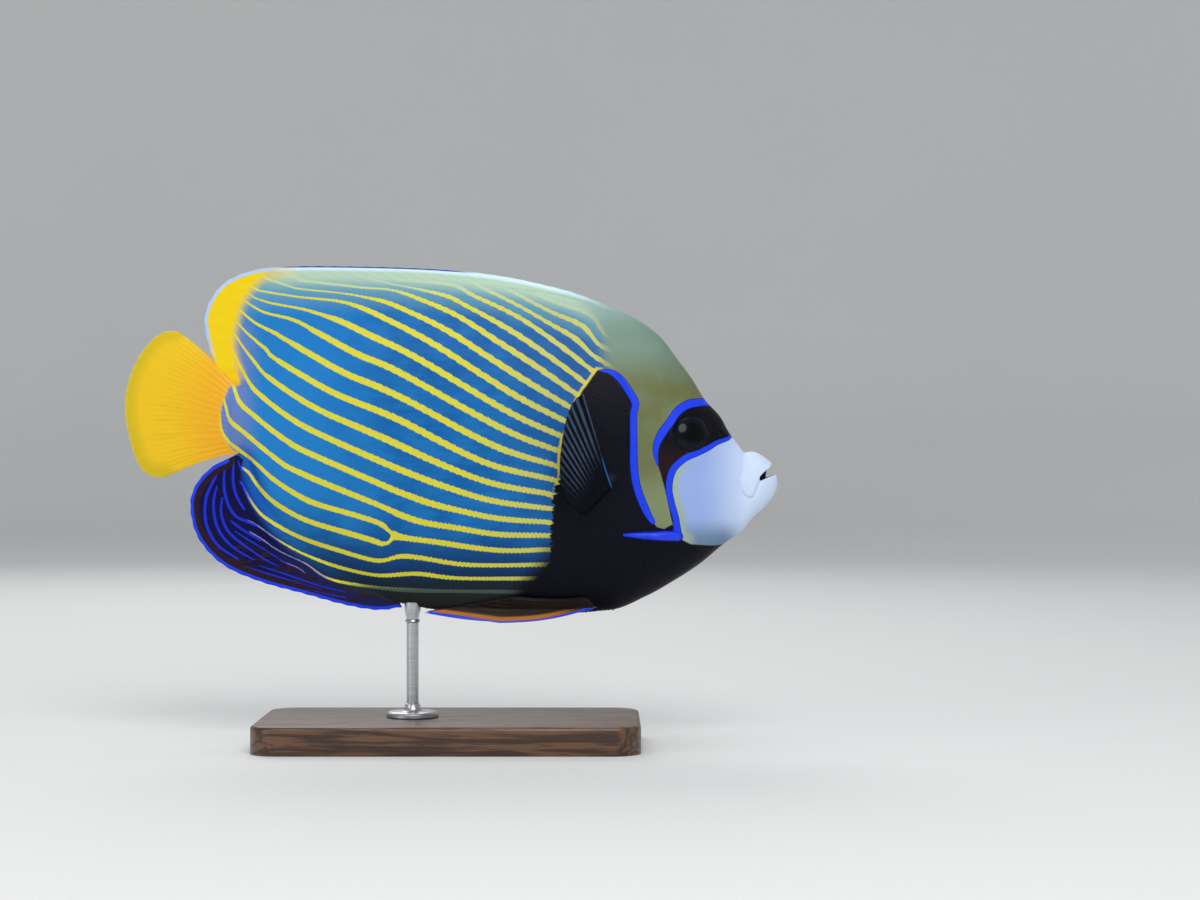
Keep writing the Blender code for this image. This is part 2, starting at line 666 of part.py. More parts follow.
def make_stand_rod(trunk):
    """The rod with its round foot, its top shaped to the belly that rests on it."""
    belly_height = SWIM_HEIGHT + belly(ROD_X)
    top = belly_height + ROD_INTO_BELLY
    foot = BASE_SIZE[2] + GAP
    profile = (
        (0, top),
        (ROD_CUP_RADIUS, top),
        (ROD_CUP_RADIUS, belly_height - ROD_CUP_HEIGHT * 0.4),
        (ROD_RADIUS, belly_height - ROD_CUP_HEIGHT),
        (ROD_RADIUS, foot + ROD_FOOT_HEIGHT + ROD_RADIUS),
        (ROD_RADIUS * 1.5, foot + ROD_FOOT_HEIGHT),
        (ROD_FOOT_RADIUS - MM, foot + ROD_FOOT_HEIGHT),
        (ROD_FOOT_RADIUS, foot + ROD_FOOT_HEIGHT - MM),
        (ROD_FOOT_RADIUS, foot),
        (0, foot),
    )
    data = bpy.data.meshes.new("stand_rod")
    data.from_pydata([(r, 0, z) for r, z in profile], [(i, i + 1) for i in range(len(profile) - 1)], [])
    rod = bpy.data.objects.new("stand_rod", data)
    parts_collection.objects.link(rod)
    rod.location.x = ROD_X
    turn = rod.modifiers.new("turned", "SCREW")
    turn.steps = turn.render_steps = 32
    turn.use_merge_vertices = True
    turn.merge_threshold = 0.01 * MM
    bake_modifiers(rod)
    cutter = bpy.data.objects.new("belly_cutter", trunk.data.copy())
    parts_collection.objects.link(cutter)
    cutter.location.z = SWIM_HEIGHT
    swell = cutter.modifiers.new("gap", "DISPLACE")
    swell.strength = GAP
    swell.mid_level = 0.0
    bake_modifiers(cutter)
    boolean(rod, "DIFFERENCE", [cutter])
    keep_largest_surface(rod)
    return rod


def finish_material(obj, finish):
    """Gives an object its own Principled material."""
    name, colour, roughness, metallic = finish
    material = bpy.data.materials.get(name) or bpy.data.materials.new(name)
    material.use_nodes = True
    shader = material.node_tree.nodes["Principled BSDF"]
    shader.inputs["Base Color"].default_value = (*colour, 1.0)
    shader.inputs["Roughness"].default_value = roughness
    shader.inputs["Metallic"].default_value = metallic
    obj.data.materials.clear()
    obj.data.materials.append(material)


def main():
    """Builds every node, then raises the fish to its swimming height."""
    rings = trunk_rings()
    trunk = bilateral_loft("trunk", rings)
    back_line = root_line([flat((ring[0].x, ring[0].z)) for ring in rings], 1, *DORSAL_BASE)
    belly_line = root_line([flat((ring[-1].x, ring[-1].z)) for ring in rings], -1, *ANAL_BASE)
    right = {make_pectoral_fin(): FIN_GREY, make_pelvic_fin(): FIN_BROWN, right_eye("eye_right"): EYE_DARK}
    left = {mirrored(piece, piece.name.replace("right", "left")): finish for piece, finish in right.items()}
    fish = {
        trunk: SKIN_BLUE,
        make_head(): SKIN_HEAD,
        make_tail_stalk(): SKIN_BLUE,
        make_jaw("upper_jaw", UPPER_JAW, -1): SKIN_PALE,
        make_jaw("lower_jaw", LOWER_JAW, 1): SKIN_PALE,
        make_middle_fin("dorsal_fin", DORSAL_EDGE, back_line, crest_half, DORSAL_RAYS, 6): SKIN_BLUE,
        make_middle_fin("anal_fin", ANAL_EDGE, belly_line, keel_half, ANAL_RAYS, 7): FIN_NAVY,
        make_caudal_fin(): FIN_YELLOW,
        **right,
        **left,
    }
    mount = bpy.data.objects.new("fish_mount", None)
    mount.location.z = SWIM_HEIGHT
    parts_collection.objects.link(mount)
    for obj, finish in fish.items():
        obj.parent = mount
        finish_material(obj, finish)
    finish_material(make_stand_base(), STAND_WOOD)
    finish_material(make_stand_rod(trunk), STAND_STEEL)


for old in list(bpy.data.objects):
    bpy.data.objects.remove(old)
parts_collection = bpy.data.collections.new("emperor_angelfish")
bpy.context.scene.collection.children.link(parts_collection)
main()
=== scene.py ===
"""The looks of an adult emperor angelfish, a still life-size model on a display stand.

Metres, +Z up, head towards +X, and the side that the camera sees is -Y. Shapes and markings of the fish
are worked out in its own side view: x from the middle of its length, and height above its mid-line, which
is SWIM_HEIGHT over the table. Lists of points are in millimetres.
"""

import logging
import math
from collections.abc import Callable, Sequence
from dataclasses import dataclass, field
from enum import Enum

import bpy
import numpy as np
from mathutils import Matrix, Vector


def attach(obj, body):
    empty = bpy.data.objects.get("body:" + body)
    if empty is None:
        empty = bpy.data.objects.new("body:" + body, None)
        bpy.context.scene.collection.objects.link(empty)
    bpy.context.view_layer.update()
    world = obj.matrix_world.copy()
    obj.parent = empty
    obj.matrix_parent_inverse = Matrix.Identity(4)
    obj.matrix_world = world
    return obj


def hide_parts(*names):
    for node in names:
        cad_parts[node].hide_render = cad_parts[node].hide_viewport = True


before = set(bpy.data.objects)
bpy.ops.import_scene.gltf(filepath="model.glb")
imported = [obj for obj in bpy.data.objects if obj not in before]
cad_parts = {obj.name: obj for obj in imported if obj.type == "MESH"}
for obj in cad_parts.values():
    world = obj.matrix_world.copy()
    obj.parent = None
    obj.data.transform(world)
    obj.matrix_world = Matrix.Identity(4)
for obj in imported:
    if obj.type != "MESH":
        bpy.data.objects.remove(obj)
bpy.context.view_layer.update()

MM = 0.001
SWIM_HEIGHT = 150 * MM
BODY = "root"
WELD = 0.02 * MM
FINE_WELD = 0.01 * MM
# In millimetres, farther than anything on the fish and nearer than any two of its points
FAR = 1e3
TINY = 1e-9
# How near a share is to 0 or 1 when it counts as that
NEARLY = 1e-6

Points = Sequence[Sequence[float]]
# Two places of a soft edge: where nothing of something is left, and where all of it is there
Band = tuple[float, float]
Field = np.ndarray
Form = Callable[[Field], Field]
SheetForm = Callable[[Field, Field], Field]
# Named attributes of up to three numbers a point
Marks = dict[str, tuple[Field, ...]]
Piece = bpy.types.Object
Material = bpy.types.Material
log = logging.getLogger("emperor_angelfish")


class Side(Enum):
    """A side of the fish, with the sign of Y on that side."""

    RIGHT = -1
    LEFT = 1

    @property
    def word(self) -> str:
        """The side's name in a piece's name."""
        return self.name.lower()


class MidFin(Enum):
    """A fin of the fish's middle plane, with the sign of Z from its edge to its root."""

    DORSAL = -1
    ANAL = 1

    @property
    def word(self) -> str:
        """The fin's name in the names of lines and pieces."""
        return self.name.lower()


# Curves and distances in the side view


def smooth_function(knots: Points, unit: float = MM) -> Form:
    """Makes a smooth function through knots that never overshoots them.

    Args:
        knots: (position, value) pairs, positions rising.
        unit: Size of the knots' unit in metres; values that are shares pass a unit of their own.

    Returns:
        A function of an array of positions.
    """
    xs, ys = np.array(knots, float).T
    xs = xs * MM
    ys = ys * unit
    steps = np.diff(xs)
    secants = np.diff(ys) / steps
    before, after = secants[:-1], secants[1:]
    same = before * after > 0
    inner = np.where(same, 2 * before * after / np.where(same, before + after, 1.0), 0.0)
    slopes = np.concatenate([secants[:1], inner, secants[-1:]])

    def at(place: Field) -> Field:
        """The curve's value at each place."""
        place = np.clip(place, xs[0], xs[-1])
        i = np.clip(np.searchsorted(xs, place, side="left") - 1, 0, len(steps) - 1)
        t = (place - xs[i]) / steps[i]
        rise = 3 * t * t - 2 * t**3
        start = (t**3 - 2 * t * t + t) * steps[i] * slopes[i]
        end = (t**3 - t * t) * steps[i] * slopes[i + 1]
        return ys[i] * (1 - rise) + ys[i + 1] * rise + start + end

    return at


def smooth_path(points: Points, steps: int = 8) -> Field:
    """Draws a dense Catmull-Rom line through points.

    Args:
        points: Points in millimetres, of any number of numbers each.
        steps: Short steps between two points.

    Returns:
        The line's points, one a row, in millimetres.
    """
    given = np.array(points, float)
    ends = np.vstack([2 * given[0] - given[1], given, 2 * given[-1] - given[-2]])
    t = (np.arange(steps) / steps)[:, None]
    pieces = []
    for a, b, c, d in zip(ends, ends[1:], ends[2:], ends[3:]):
        bend = (2 * a - 5 * b + 4 * c - d) * t * t + (3 * b - a - 3 * c + d) * t**3
        pieces.append(0.5 * (2 * b + (c - a) * t + bend))
    return np.vstack([*pieces, given[-1:]])


def along(path: Field, share: Field) -> Field:
    """Finds points at shares of a path's length.

    Args:
        path: The path's points, one a row.
        share: Shares of its length from 0 to 1.

    Returns:
        A point for each share, one a row.
    """
    run = np.concatenate([[0.0], np.cumsum(np.linalg.norm(np.diff(path, axis=0), axis=1))])
    return np.stack([np.interp(share * run[-1], run, column) for column in path.T], axis=-1)


def step_up(low: float, high: float, value: Field) -> Field:
    """0 at low and beyond, 1 at high and beyond, smooth in between."""
    t = np.clip((value - low) / (high - low), 0.0, 1.0)
    return t * t * (3 - 2 * t)


def at_end(share: Field) -> Field:
    """Whether each share is 0 or 1."""
    return (share < NEARLY) | (share > 1 - NEARLY)


def from_path(x: Field, z: Field, path: Field, half: Field | None = None) -> Field:
    """Measures how far points of the side view lie from an open line.

    Args:
        x: Places along the fish in millimetres.
        z: Heights in millimetres.
        path: The line's points in millimetres.
        half: Half width of the painted line at each of its points, or None for a plain distance.

    Returns:
        Distances in millimetres, or in half widths where half is given.
    """
    best = np.full(x.shape, FAR)
    for k in range(len(path) - 1):
        ax, az = path[k]
        dx, dz = path[k + 1] - path[k]
        t = np.clip(((x - ax) * dx + (z - az) * dz) / max(dx * dx + dz * dz, TINY), 0.0, 1.0)
        gap = np.hypot(x - ax - t * dx, z - az - t * dz)
        if half is not None:
            gap = gap / (half[k] * (1 - t) + half[k + 1] * t)
        best = np.minimum(best, gap)
    return best


def within(x: Field, z: Field, outline: Field) -> Field:
    """Measures how deep points of the side view lie inside a closed outline.

    Args:
        x: Places along the fish in millimetres.
        z: Heights in millimetres.
        outline: The outline's points in millimetres; its last point joins its first.

    Returns:
        Distances from the outline in millimetres, positive inside it and negative outside.
    """
    closed = np.vstack([outline, outline[:1]])
    inside = np.zeros(x.shape, bool)
    for (ax, az), (bx, bz) in zip(closed[:-1], closed[1:]):
        spans = (az > z) != (bz > z)
        inside ^= spans & (x < ax + (z - az) * (bx - ax) / (bz - az if bz != az else TINY))
    return from_path(x, z, closed) * np.where(inside, 1.0, -1.0)


# The fish's shape


@dataclass(frozen=True)
class FishForm:
    """The flesh and the middle fins as heights over the fish's middle plane, from its named sizes."""

    tail_base: float = -108.5
    snout: float = 148.0
    lip_tip: float = 163.8
    back_points: Points = (
        (-108.5, 29), (-101, 29.2), (-96, 30.8), (-91.5, 34), (-85, 42), (-75, 53), (-58, 64.8),
        (-36.5, 73.8), (-12.5, 78.2), (15, 79.5), (45, 76.8), (70, 71.4), (82, 68.3), (89, 65.3),
        (95.5, 61.6), (105, 54.2), (114, 42.5), (121, 33), (127.5, 22.5), (135, 14.2), (139.5, 6.2),
        (144, 0.3), (147.6, -3.9), (150, -3.5), (152, -3.6), (155.3, -5), (158.4, -7.2), (160.5, -9),
        (162, -12), (163.2, -15.5), (163.8, -18.5),
    )
    belly_points: Points = (
        (-108.5, -4.5), (-103.5, -5.8), (-100.5, -8.5), (-97, -18), (-94, -26.2), (-88.5, -35.2),
        (-82.5, -42.5), (-65, -57.2), (-45, -69.8), (-25, -78.8), (-5, -82.2), (25, -83.8), (55, -83.8),
        (81, -82.2), (98.5, -75.3), (111, -68.3), (125, -59.2), (136, -50), (146.5, -42.3), (148, -40.3),
        (151.5, -35.8), (156.9, -31), (161.4, -25.5), (163.2, -21.8), (163.8, -19.5),
    )
    half_width_points: Points = (
        (-108.5, 4.8), (-101, 6.2), (-90, 9), (-70, 13.2), (-40, 18.2), (0, 22.2), (40, 24.3), (75, 24.5),
        (95, 23.8), (110, 21.2), (122, 18), (132, 14.8), (140, 11.6), (148, 8.9), (151, 9.1), (154, 8.9),
        (157, 8.1), (160, 6.5), (162, 4.7), (163.2, 2.8), (163.8, 0.8),
    )
    widest_shares: Points = (
        (-108.5, 0.50), (-50, 0.46), (20, 0.44), (90, 0.50), (120, 0.52), (148, 0.50),
    )
    crest_points: Points = (
        (-108.5, 0.8), (-100, 1), (-94, 1.8), (-60, 2.6), (20, 2.8), (70, 2), (86, 1.2), (100, 0.8),
        (148, 0.8),
    )
    keel_points: Points = (
        (-108.5, 0.8), (-103, 1), (-98, 1.8), (-70, 2.4), (-30, 1.8), (-20, 1), (148, 0.8),
    )
    back_tapers: Points = (
        (-108.5, 0.50), (-98, 0.62), (-70, 0.86), (30, 0.84), (90, 0.62), (115, 0.52), (148, 0.50),
    )
    belly_tapers: Points = (
        (-108.5, 0.50), (-100, 0.62), (-70, 0.84), (-20, 0.70), (50, 0.58), (148, 0.50),
    )
    flank_power: float = 2.2
    # The power with which the head's relief dies away towards back and belly
    relief_fade: float = 4.0
    # The gill cover's rear edge and the cheek plate's, as (height, x)
    gill_points: Points = (
        (-84, 87), (-73, 92.5), (-61, 98.5), (-48, 101), (-36, 99.5), (-22, 95), (-11, 92), (3, 91),
        (18, 92.5), (28, 89.5), (37, 84), (52, 80.5), (70, 79),
    )
    cheek_points: Points = (
        (-50, 120), (-43, 116.5), (-30, 113), (-15, 111.5), (-6, 115), (2, 126),
    )
    gill_raise: float = 0.9
    # How far the cover's edge lies behind its middle line, so that the blue line lies on the cover
    gill_margin: float = 1.9
    gill_step: Band = (-0.3, 0.5)
    gill_front: Band = (148.0, 110.0)
    gill_top: Band = (44.0, 33.0)
    cheek_raise: float = 0.9
    cheek_step: Band = (0.0, 3.0)
    cheek_front: Band = (146.0, 128.0)
    cheek_top: Band = (4.0, -4.0)
    # The flap that covers the corner of the mouth; its groove as depth, place and spread
    mouth_flap: Points = (
        (147.6, -2), (147.4, -8), (146.6, -13), (145.1, -16.5), (144.6, -19.5), (145.4, -22.6), (147, -25),
        (149, -26.2), (151.2, -25.4), (152.2, -22.6), (153.4, -19.6), (155, -17.2), (157.5, -14), (166, -6),
        (158, 2),
    )
    flap_raise: float = 0.8
    flap_step: Band = (-0.3, 1.1)
    flap_groove: tuple[float, float, float] = (0.4, -0.5, 0.6)
    # How far the flesh thins towards the middle fins, so that it runs into them without a crease, and
    # over what length that sets in behind the front of the dorsal and of the anal fin
    fillet: float = 4.0
    fillet_onset: tuple[float, float] = (14.0, 12.0)
    dorsal_run: tuple[float, float] = (-96.2, 82.0)
    anal_run: tuple[float, float] = (-104.0, -26.2)
    # Eye, lids and nostrils
    eye: tuple[float, float] = (120.0, 5.5)
    eye_radius: float = 10.8
    eye_dome: float = 6.0
    eye_sunk: float = 2.9
    brow_raise: float = 1.0
    brow_spread: float = 0.5
    lid_radius: float = 9.3
    lid_raise: float = 0.55
    lid_spread: float = 1.1
    socket_depth: float = 3.4
    socket_wall: Band = (8.8, 7.6)
    # Each nostril's place and radius; their rim's height, radius and spread; their pit's depth and spread
    nostrils: Points = ((135, 5.6, 1.2), (137.8, 4, 0.9))
    nostril_rim: tuple[float, float, float] = (0.35, 1.3, 0.2)
    nostril_pit: tuple[float, float] = (1.3, 0.5)
    pectoral_root: Points = ((80.5, -20.5), (67, -34.5))
    pectoral_swell: float = 1.6
    swell_reach: Band = (7.0, 1.0)
    swell_front: Band = (100.0, 88.0)
    # Outer edges of the middle fins
    dorsal_edge: Points = (
        (82, 68.4), (70, 73.4), (56, 77.9), (28.5, 84), (0, 87.4), (-35, 89), (-80, 89.3), (-100, 87),
        (-114, 80.3), (-121.7, 68.5), (-122.5, 57.5), (-118.5, 43), (-113.4, 33.6), (-108.6, 29.4),
        (-106.6, 27.7),
    )
    anal_edge: Points = (
        (-24, -81.2), (-36.5, -82.6), (-52.5, -80), (-72.5, -74.6), (-95.5, -68.2), (-114, -59.7),
        (-126.2, -46.2), (-130, -30.5), (-127, -19.5), (-119.2, -11), (-112.2, -7.4),
    )
    # How deep a middle fin's root is sunk in the body
    fin_sink: float = 2.4
    fin_edge_half: float = 0.34
    fin_taper: float = 1.4
    curves: dict[str, Form] = field(default_factory=dict)
    lines: dict[str, Field] = field(default_factory=dict)

    def __post_init__(self) -> None:
        """Works out the smooth curves and lines once."""
        shares = 1.0
        self.curves.update(
            back=smooth_function(self.back_points),
            belly=smooth_function(self.belly_points),
            widest=smooth_function(self.half_width_points),
            widest_share=smooth_function(self.widest_shares, shares),
            crest=smooth_function(self.crest_points),
            keel=smooth_function(self.keel_points),
            back_taper=smooth_function(self.back_tapers, shares),
            belly_taper=smooth_function(self.belly_tapers, shares),
            gill=smooth_function(self.gill_points),
            cheek=smooth_function(self.cheek_points),
        )
        x = np.linspace(self.dorsal_run[1], self.dorsal_run[0], 90)
        self.lines["dorsal_root"] = np.stack([x, self.back(x * MM) / MM], 1)
        x = np.linspace(self.anal_run[1], self.anal_run[0], 70)
        self.lines["anal_root"] = np.stack([x, self.belly(x * MM) / MM], 1)
        self.lines["dorsal_edge"] = smooth_path(self.dorsal_edge)
        self.lines["anal_edge"] = smooth_path(self.anal_edge)
        self.lines["mouth_flap"] = smooth_path(self.mouth_flap, 4)
        for fin in MidFin:
            edge, root = self.lines[f"{fin.word}_edge"], self.lines[f"{fin.word}_root"]
            corner = root[-1:] + np.array([0.0, fin.value * self.fin_sink])
            self.lines[fin.word] = np.vstack([edge, corner, root[::-1]])

    def back(self, x: Field) -> Field:
        """Height of the back at places along the fish."""
        return self.curves["back"](x)

    def belly(self, x: Field) -> Field:
        """Height of the belly at places along the fish."""
        return self.curves["belly"](x)

    def gill(self, z: Field) -> Field:
        """Place of the gill cover's rear edge at heights."""
        return self.curves["gill"](z)

    def flesh(self, x: Field, z: Field) -> Field:
        """Half the thickness of the body.

        Args:
            x: Places along the fish in metres.
            z: Heights in metres, between the belly and the back.

        Returns:
            The half thickness at each point, with the relief of the head.
        """
        curves = self.curves
        back, belly = self.back(x), self.belly(x)
        share = np.clip((back - z) / (back - belly), 0.0, 1.0)
        widest = curves["widest_share"](x)
        upper = share < widest
        reach = np.where(upper, (widest - share) / widest, (share - widest) / (1 - widest))
        edge = np.where(upper, curves["crest"](x), curves["keel"](x))
        taper = np.where(upper, curves["back_taper"](x), curves["belly_taper"](x))
        swell = (curves["widest"](x) - edge) * np.maximum(1 - reach**self.flank_power, 0.0) ** taper
        dorsal = step_up(self.dorsal_run[1] * MM, (self.dorsal_run[1] - self.fillet_onset[0]) * MM, x)
        anal = step_up(self.anal_run[1] * MM, (self.anal_run[1] - self.fillet_onset[1]) * MM, x)
        depth = np.where(upper, back - z, z - belly)
        swell = swell * (1 - np.where(upper, dorsal, anal) * np.exp(-depth / (self.fillet * MM)))
        return edge + swell + (1 - reach**self.relief_fade) * self.relief(x, z) * MM

    def relief(self, x: Field, z: Field) -> Field:
        """Works out how far the head's forms and the fin roots stand over the plain body.

        Args:
            x: Places along the fish in metres.
            z: Heights in metres.

        Returns:
            Heights over the plain body in millimetres.
        """
        x, z = x / MM, z / MM
        gill = self.gill_raise * step_up(*self.gill_step, x + self.gill_margin - self.gill(z * MM) / MM)
        gill = gill * step_up(*self.gill_front, x) * step_up(*self.gill_top, z)
        from_cheek = x - self.curves["cheek"](z * MM) / MM
        cheek = self.cheek_raise * step_up(*self.cheek_step, from_cheek)
        cheek = cheek * step_up(*self.cheek_front, x) * step_up(*self.cheek_top, z)
        from_eye = np.hypot(x - self.eye[0], z - self.eye[1])
        brow = self.brow_raise * np.exp(-(((from_eye / self.eye_radius - 1) / self.brow_spread) ** 2))
        lid = self.lid_raise * np.exp(-(((from_eye - self.lid_radius) / self.lid_spread) ** 2))
        socket = -self.socket_depth * step_up(*self.socket_wall, from_eye)
        rim, rim_radius, rim_spread = self.nostril_rim
        pit, pit_spread = self.nostril_pit
        nostrils = np.zeros_like(x)
        for px, pz, radius in self.nostrils:
            away = np.hypot(x - px, z - pz) / radius
            nostrils += rim * np.exp(-((away - rim_radius) ** 2) / rim_spread)
            nostrils -= pit * np.exp(-(away**2) / pit_spread)
        in_flap = within(x, z, self.lines["mouth_flap"])
        groove, groove_place, groove_spread = self.flap_groove
        flap = self.flap_raise * step_up(*self.flap_step, in_flap)
        flap = flap - groove * np.exp(-(((in_flap - groove_place) / groove_spread) ** 2))
        root = from_path(x, z, np.array(self.pectoral_root))
        shoulder = self.pectoral_swell * step_up(*self.swell_reach, root) * step_up(*self.swell_front, x)
        return gill + cheek + brow + lid + socket + nostrils + flap + shoulder

    def fin_half(self, fin: MidFin, x: Field, z: Field) -> Field:
        """Half the thickness of a middle fin's membrane.

        Args:
            fin: The fin.
            x: Places along the fish in metres.
            z: Heights in metres.

        Returns:
            The half thickness, as thick as the body's edge at the root and thin at the fin's edge.
        """
        root = from_path(x / MM, z / MM, self.lines[f"{fin.word}_root"])
        edge = from_path(x / MM, z / MM, self.lines[f"{fin.word}_edge"])
        crest = self.curves["crest" if fin is MidFin.DORSAL else "keel"](x)
        thin = self.fin_edge_half * MM
        return thin + (crest - thin) * (edge / (edge + root + NEARLY)) ** self.fin_taper

    def side(self, x: Field, z: Field) -> Field:
        """Half thickness of body and middle fins together, as scales lie on them.

        Args:
            x: Places along the fish in metres.
            z: Heights in metres.

        Returns:
            The half thickness at each point, and 0 outside the side view's outline.
        """
        body = (z <= self.back(x)) & (z >= self.belly(x)) & (x >= self.tail_base * MM)
        half = np.where(body, self.flesh(x, z), 0.0)
        for fin in MidFin:
            lies = (within(x / MM, z / MM, self.lines[fin.word]) > 0) & ~body
            half = np.where(lies, self.fin_half(fin, x, z), half)
        return half


# The fish's markings


@dataclass(frozen=True)
class Markings:
    """Where each marking lies in the side view, in millimetres, and what a material needs to paint it."""

    form: FishForm
    # Middles of some of the yellow stripes, with the stripe's number counted from the top of the back.
    # A stripe below the fork has one number behind the fork and the one before it in front.
    stripes: tuple[tuple[float, Points], ...] = (
        (0, ((29.5, 77.5), (50, 66.5), (66, 59.2), (74, 50))),
        (2, ((-27, 82.3), (1, 80), (12, 74.5), (35, 63.5), (55, 49.5), (71, 37))),
        (4, ((-75, 82), (-45, 78.7), (-28.2, 77.5), (-15, 73), (5, 64), (25, 51),
             (45, 38), (63.5, 25))),
        (6, ((-95.5, 77), (-75, 74), (-49.5, 70.8), (-25, 59.8), (-5, 48.8), (15, 36),
             (35, 23.5), (58.5, 11.5))),
        (8, ((-102.5, 72), (-93, 66.5), (-77.5, 62.5), (-65, 55.8), (-45, 45), (-25, 36.5),
             (15, 14.5), (35, 4.5), (55, -3))),
        (10, ((-108.2, 64), (-102, 56.5), (-92, 48), (-88.5, 44), (-75, 35.8), (-55, 25),
              (-25, 13), (5, -2.5), (25, -10.8), (52.5, -17))),
        (12, ((-109.5, 50), (-104.8, 39.5), (-99, 29.5), (-93, 24), (-81, 15), (-65, 6),
              (-25, -11.5), (5, -22.5), (25, -28), (53, -31.5))),
        (14, ((-113.5, 24), (-111.8, 18), (-109.5, 12.2), (-102, 6), (-85, -7.5),
              (-75, -13.2), (-35, -29.5), (-15, -37.5), (5, -41), (25, -44), (50.5, -44.5))),
        (15, ((-115, 16), (-113, 4.5), (-106, -2), (-97, -8.5), (-87.2, -17),
              (-75, -25), (-65, -29.5), (-45, -35), (-33.2, -39), (-25, -45),
              (-5, -48), (25, -52), (51, -51.5))),
        (17, ((-103.8, -19), (-99, -28.5), (-91.5, -37), (-75, -46), (-55, -52.5),
              (-35, -57.5), (-21, -55), (5, -59), (25, -59.5), (51.5, -59))),
        (18, ((-112.5, -11.5), (-112.5, -23.5), (-107, -34.5), (-96.5, -40), (-85, -48),
              (-72, -55), (-55, -61), (-35, -64.9), (-15, -63.8), (5, -66),
              (47.5, -66))),
        (19, ((-95, -46.2), (-85, -53), (-72, -59.2), (-58, -67.5), (-25, -72),
              (25, -72.8), (58, -73.2))),
    )
    stripe_lean: float = math.radians(30)
    fork: tuple[float, float] = (-28.5, -45.5)
    fork_number: float = 16
    fork_sharpness: float = 1.8
    # Share of the stripes' spacing that is yellow, along the body, and how much of it is left on a fin
    yellow_shares: Points = (
        (-115, 0.23), (-75, 0.26), (-25, 0.30), (10, 0.32), (35, 0.345), (60, 0.35),
    )
    yellow_on_fin: float = 0.80
    yellow_on_belly: float = 0.84
    yellow_on_anal: float = 0.62
    fin_start: Band = (-2.0, 3.0)
    belly_start: Band = (-46.0, -56.0)
    anal_start: Band = (1.0, 7.0)
    gill_line: Points = (
        (74.5, 36.8, 0.5), (80.2, 36, 1.2), (84.9, 32.6, 1.6), (88.7, 27.3, 1.7), (91.8, 22, 1.8),
        (92.3, 19, 1.7), (91.4, 14.2, 1.6), (91.5, -1, 1.7), (91.5, -8.8, 1.8), (92.3, -16.5, 1.8),
        (93.7, -22.5, 1.8), (96, -28.5, 1.8), (98.5, -34, 1.6), (101, -37.9, 1.1),
    )
    mask_line: Points = (
        (128.5, 21.4, 1.7), (123.9, 21.1, 1.9), (118.5, 20, 2), (113.2, 16.5, 1.9), (109.4, 11.2, 1.9),
        (105.5, 5.8, 2), (102.9, 0.5, 1.6), (102.3, -4.2, 1.2), (103.2, -9.5, 0.5),
    )
    face_line: Points = (
        (140.8, 5.2, 0.7), (138.5, 3.1, 0.9), (133, 1.2, 1.1), (127.8, -1.8, 1.3), (122.4, -4.2, 1.4),
        (117, -6.5, 1.5), (111.7, -11, 1.6), (109.4, -16.4, 1.6), (109, -22.5, 1.5), (110.2, -28.7, 1.5),
        (112, -34.8, 1.5), (112.8, -39.4, 1.6), (113, -43.2, 2),
    )
    cheek_bar: Points = (
        (87.2, -44.3, 0.7), (92, -44.5, 1.3), (98, -44.7, 1.9), (104, -44.8, 2.3), (109, -44.9, 2.5),
        (113.5, -45.2, 2.3),
    )
    patch_edge: Points = (
        (74, 37), (68.8, 30), (64.8, 23.5), (62, 17), (59.5, 8.8), (56.5, 0.5), (55.5, -7.5), (55.5, -15.5),
        (52.5, -24.8), (51.5, -38), (50.5, -51.5), (49, -60), (43.5, -66.2), (37.5, -73.5), (32.5, -82.5),
        (30, -95),
    )
    # The rest of the pale face's outline under the face line, and of the mask's behind and above it
    face_rest: Points = (
        (114.7, -46.4), (120, -49), (131.5, -49.8), (139.2, -49.3), (150, -54), (180, -54), (180, 20),
        (143, 8),
    )
    mask_rear: Points = ((104.8, -14), (108, -26.2), (109.8, -35.5), (111, -40))
    mask_top: Points = ((132, 26),)
    mask_front: Points = ((146, 10),)
    throat_edge: Points = (
        (125, -95), (150, -54), (139.2, -49.3), (131.5, -49.8), (120, -49), (114.7, -46.2), (113, -43),
        (110.6, -39), (106.5, -41.3), (103.2, -40.4),
    )
    nape_edge: Points = (
        (33, 86), (55, 78.5), (70, 66.5), (75.5, 55), (76.5, 46.5), (79, 36.5), (85, 20), (86, 0),
        (88, -20), (96, -42), (104, -60), (200, -60), (200, 120), (33, 120),
    )
    dorsal_lobe: Points = (
        (-88, 95), (-93, 86), (-98, 81.5), (-101.5, 77), (-104.5, 72.5), (-107, 65), (-109, 56.5),
        (-109.5, 50), (-108.5, 42.5), (-106.4, 36.5), (-104.8, 31.6), (-106.5, 29.6), (-112, 28.8),
        (-135, 28.8), (-140, 60), (-135, 95),
    )
    tail_fan: Points = (
        (-108.8, 31), (-110.5, 27.5), (-112.8, 22), (-114.6, 15), (-114.6, 8), (-111.6, 1), (-108, -2.6),
        (-104.6, -4), (-108, -4.6), (-112, -6.2), (-119, -8.6), (-127, -11.4), (-143.5, -17.2), (-175, -25),
        (-175, 90), (-128, 70), (-114, 40),
    )
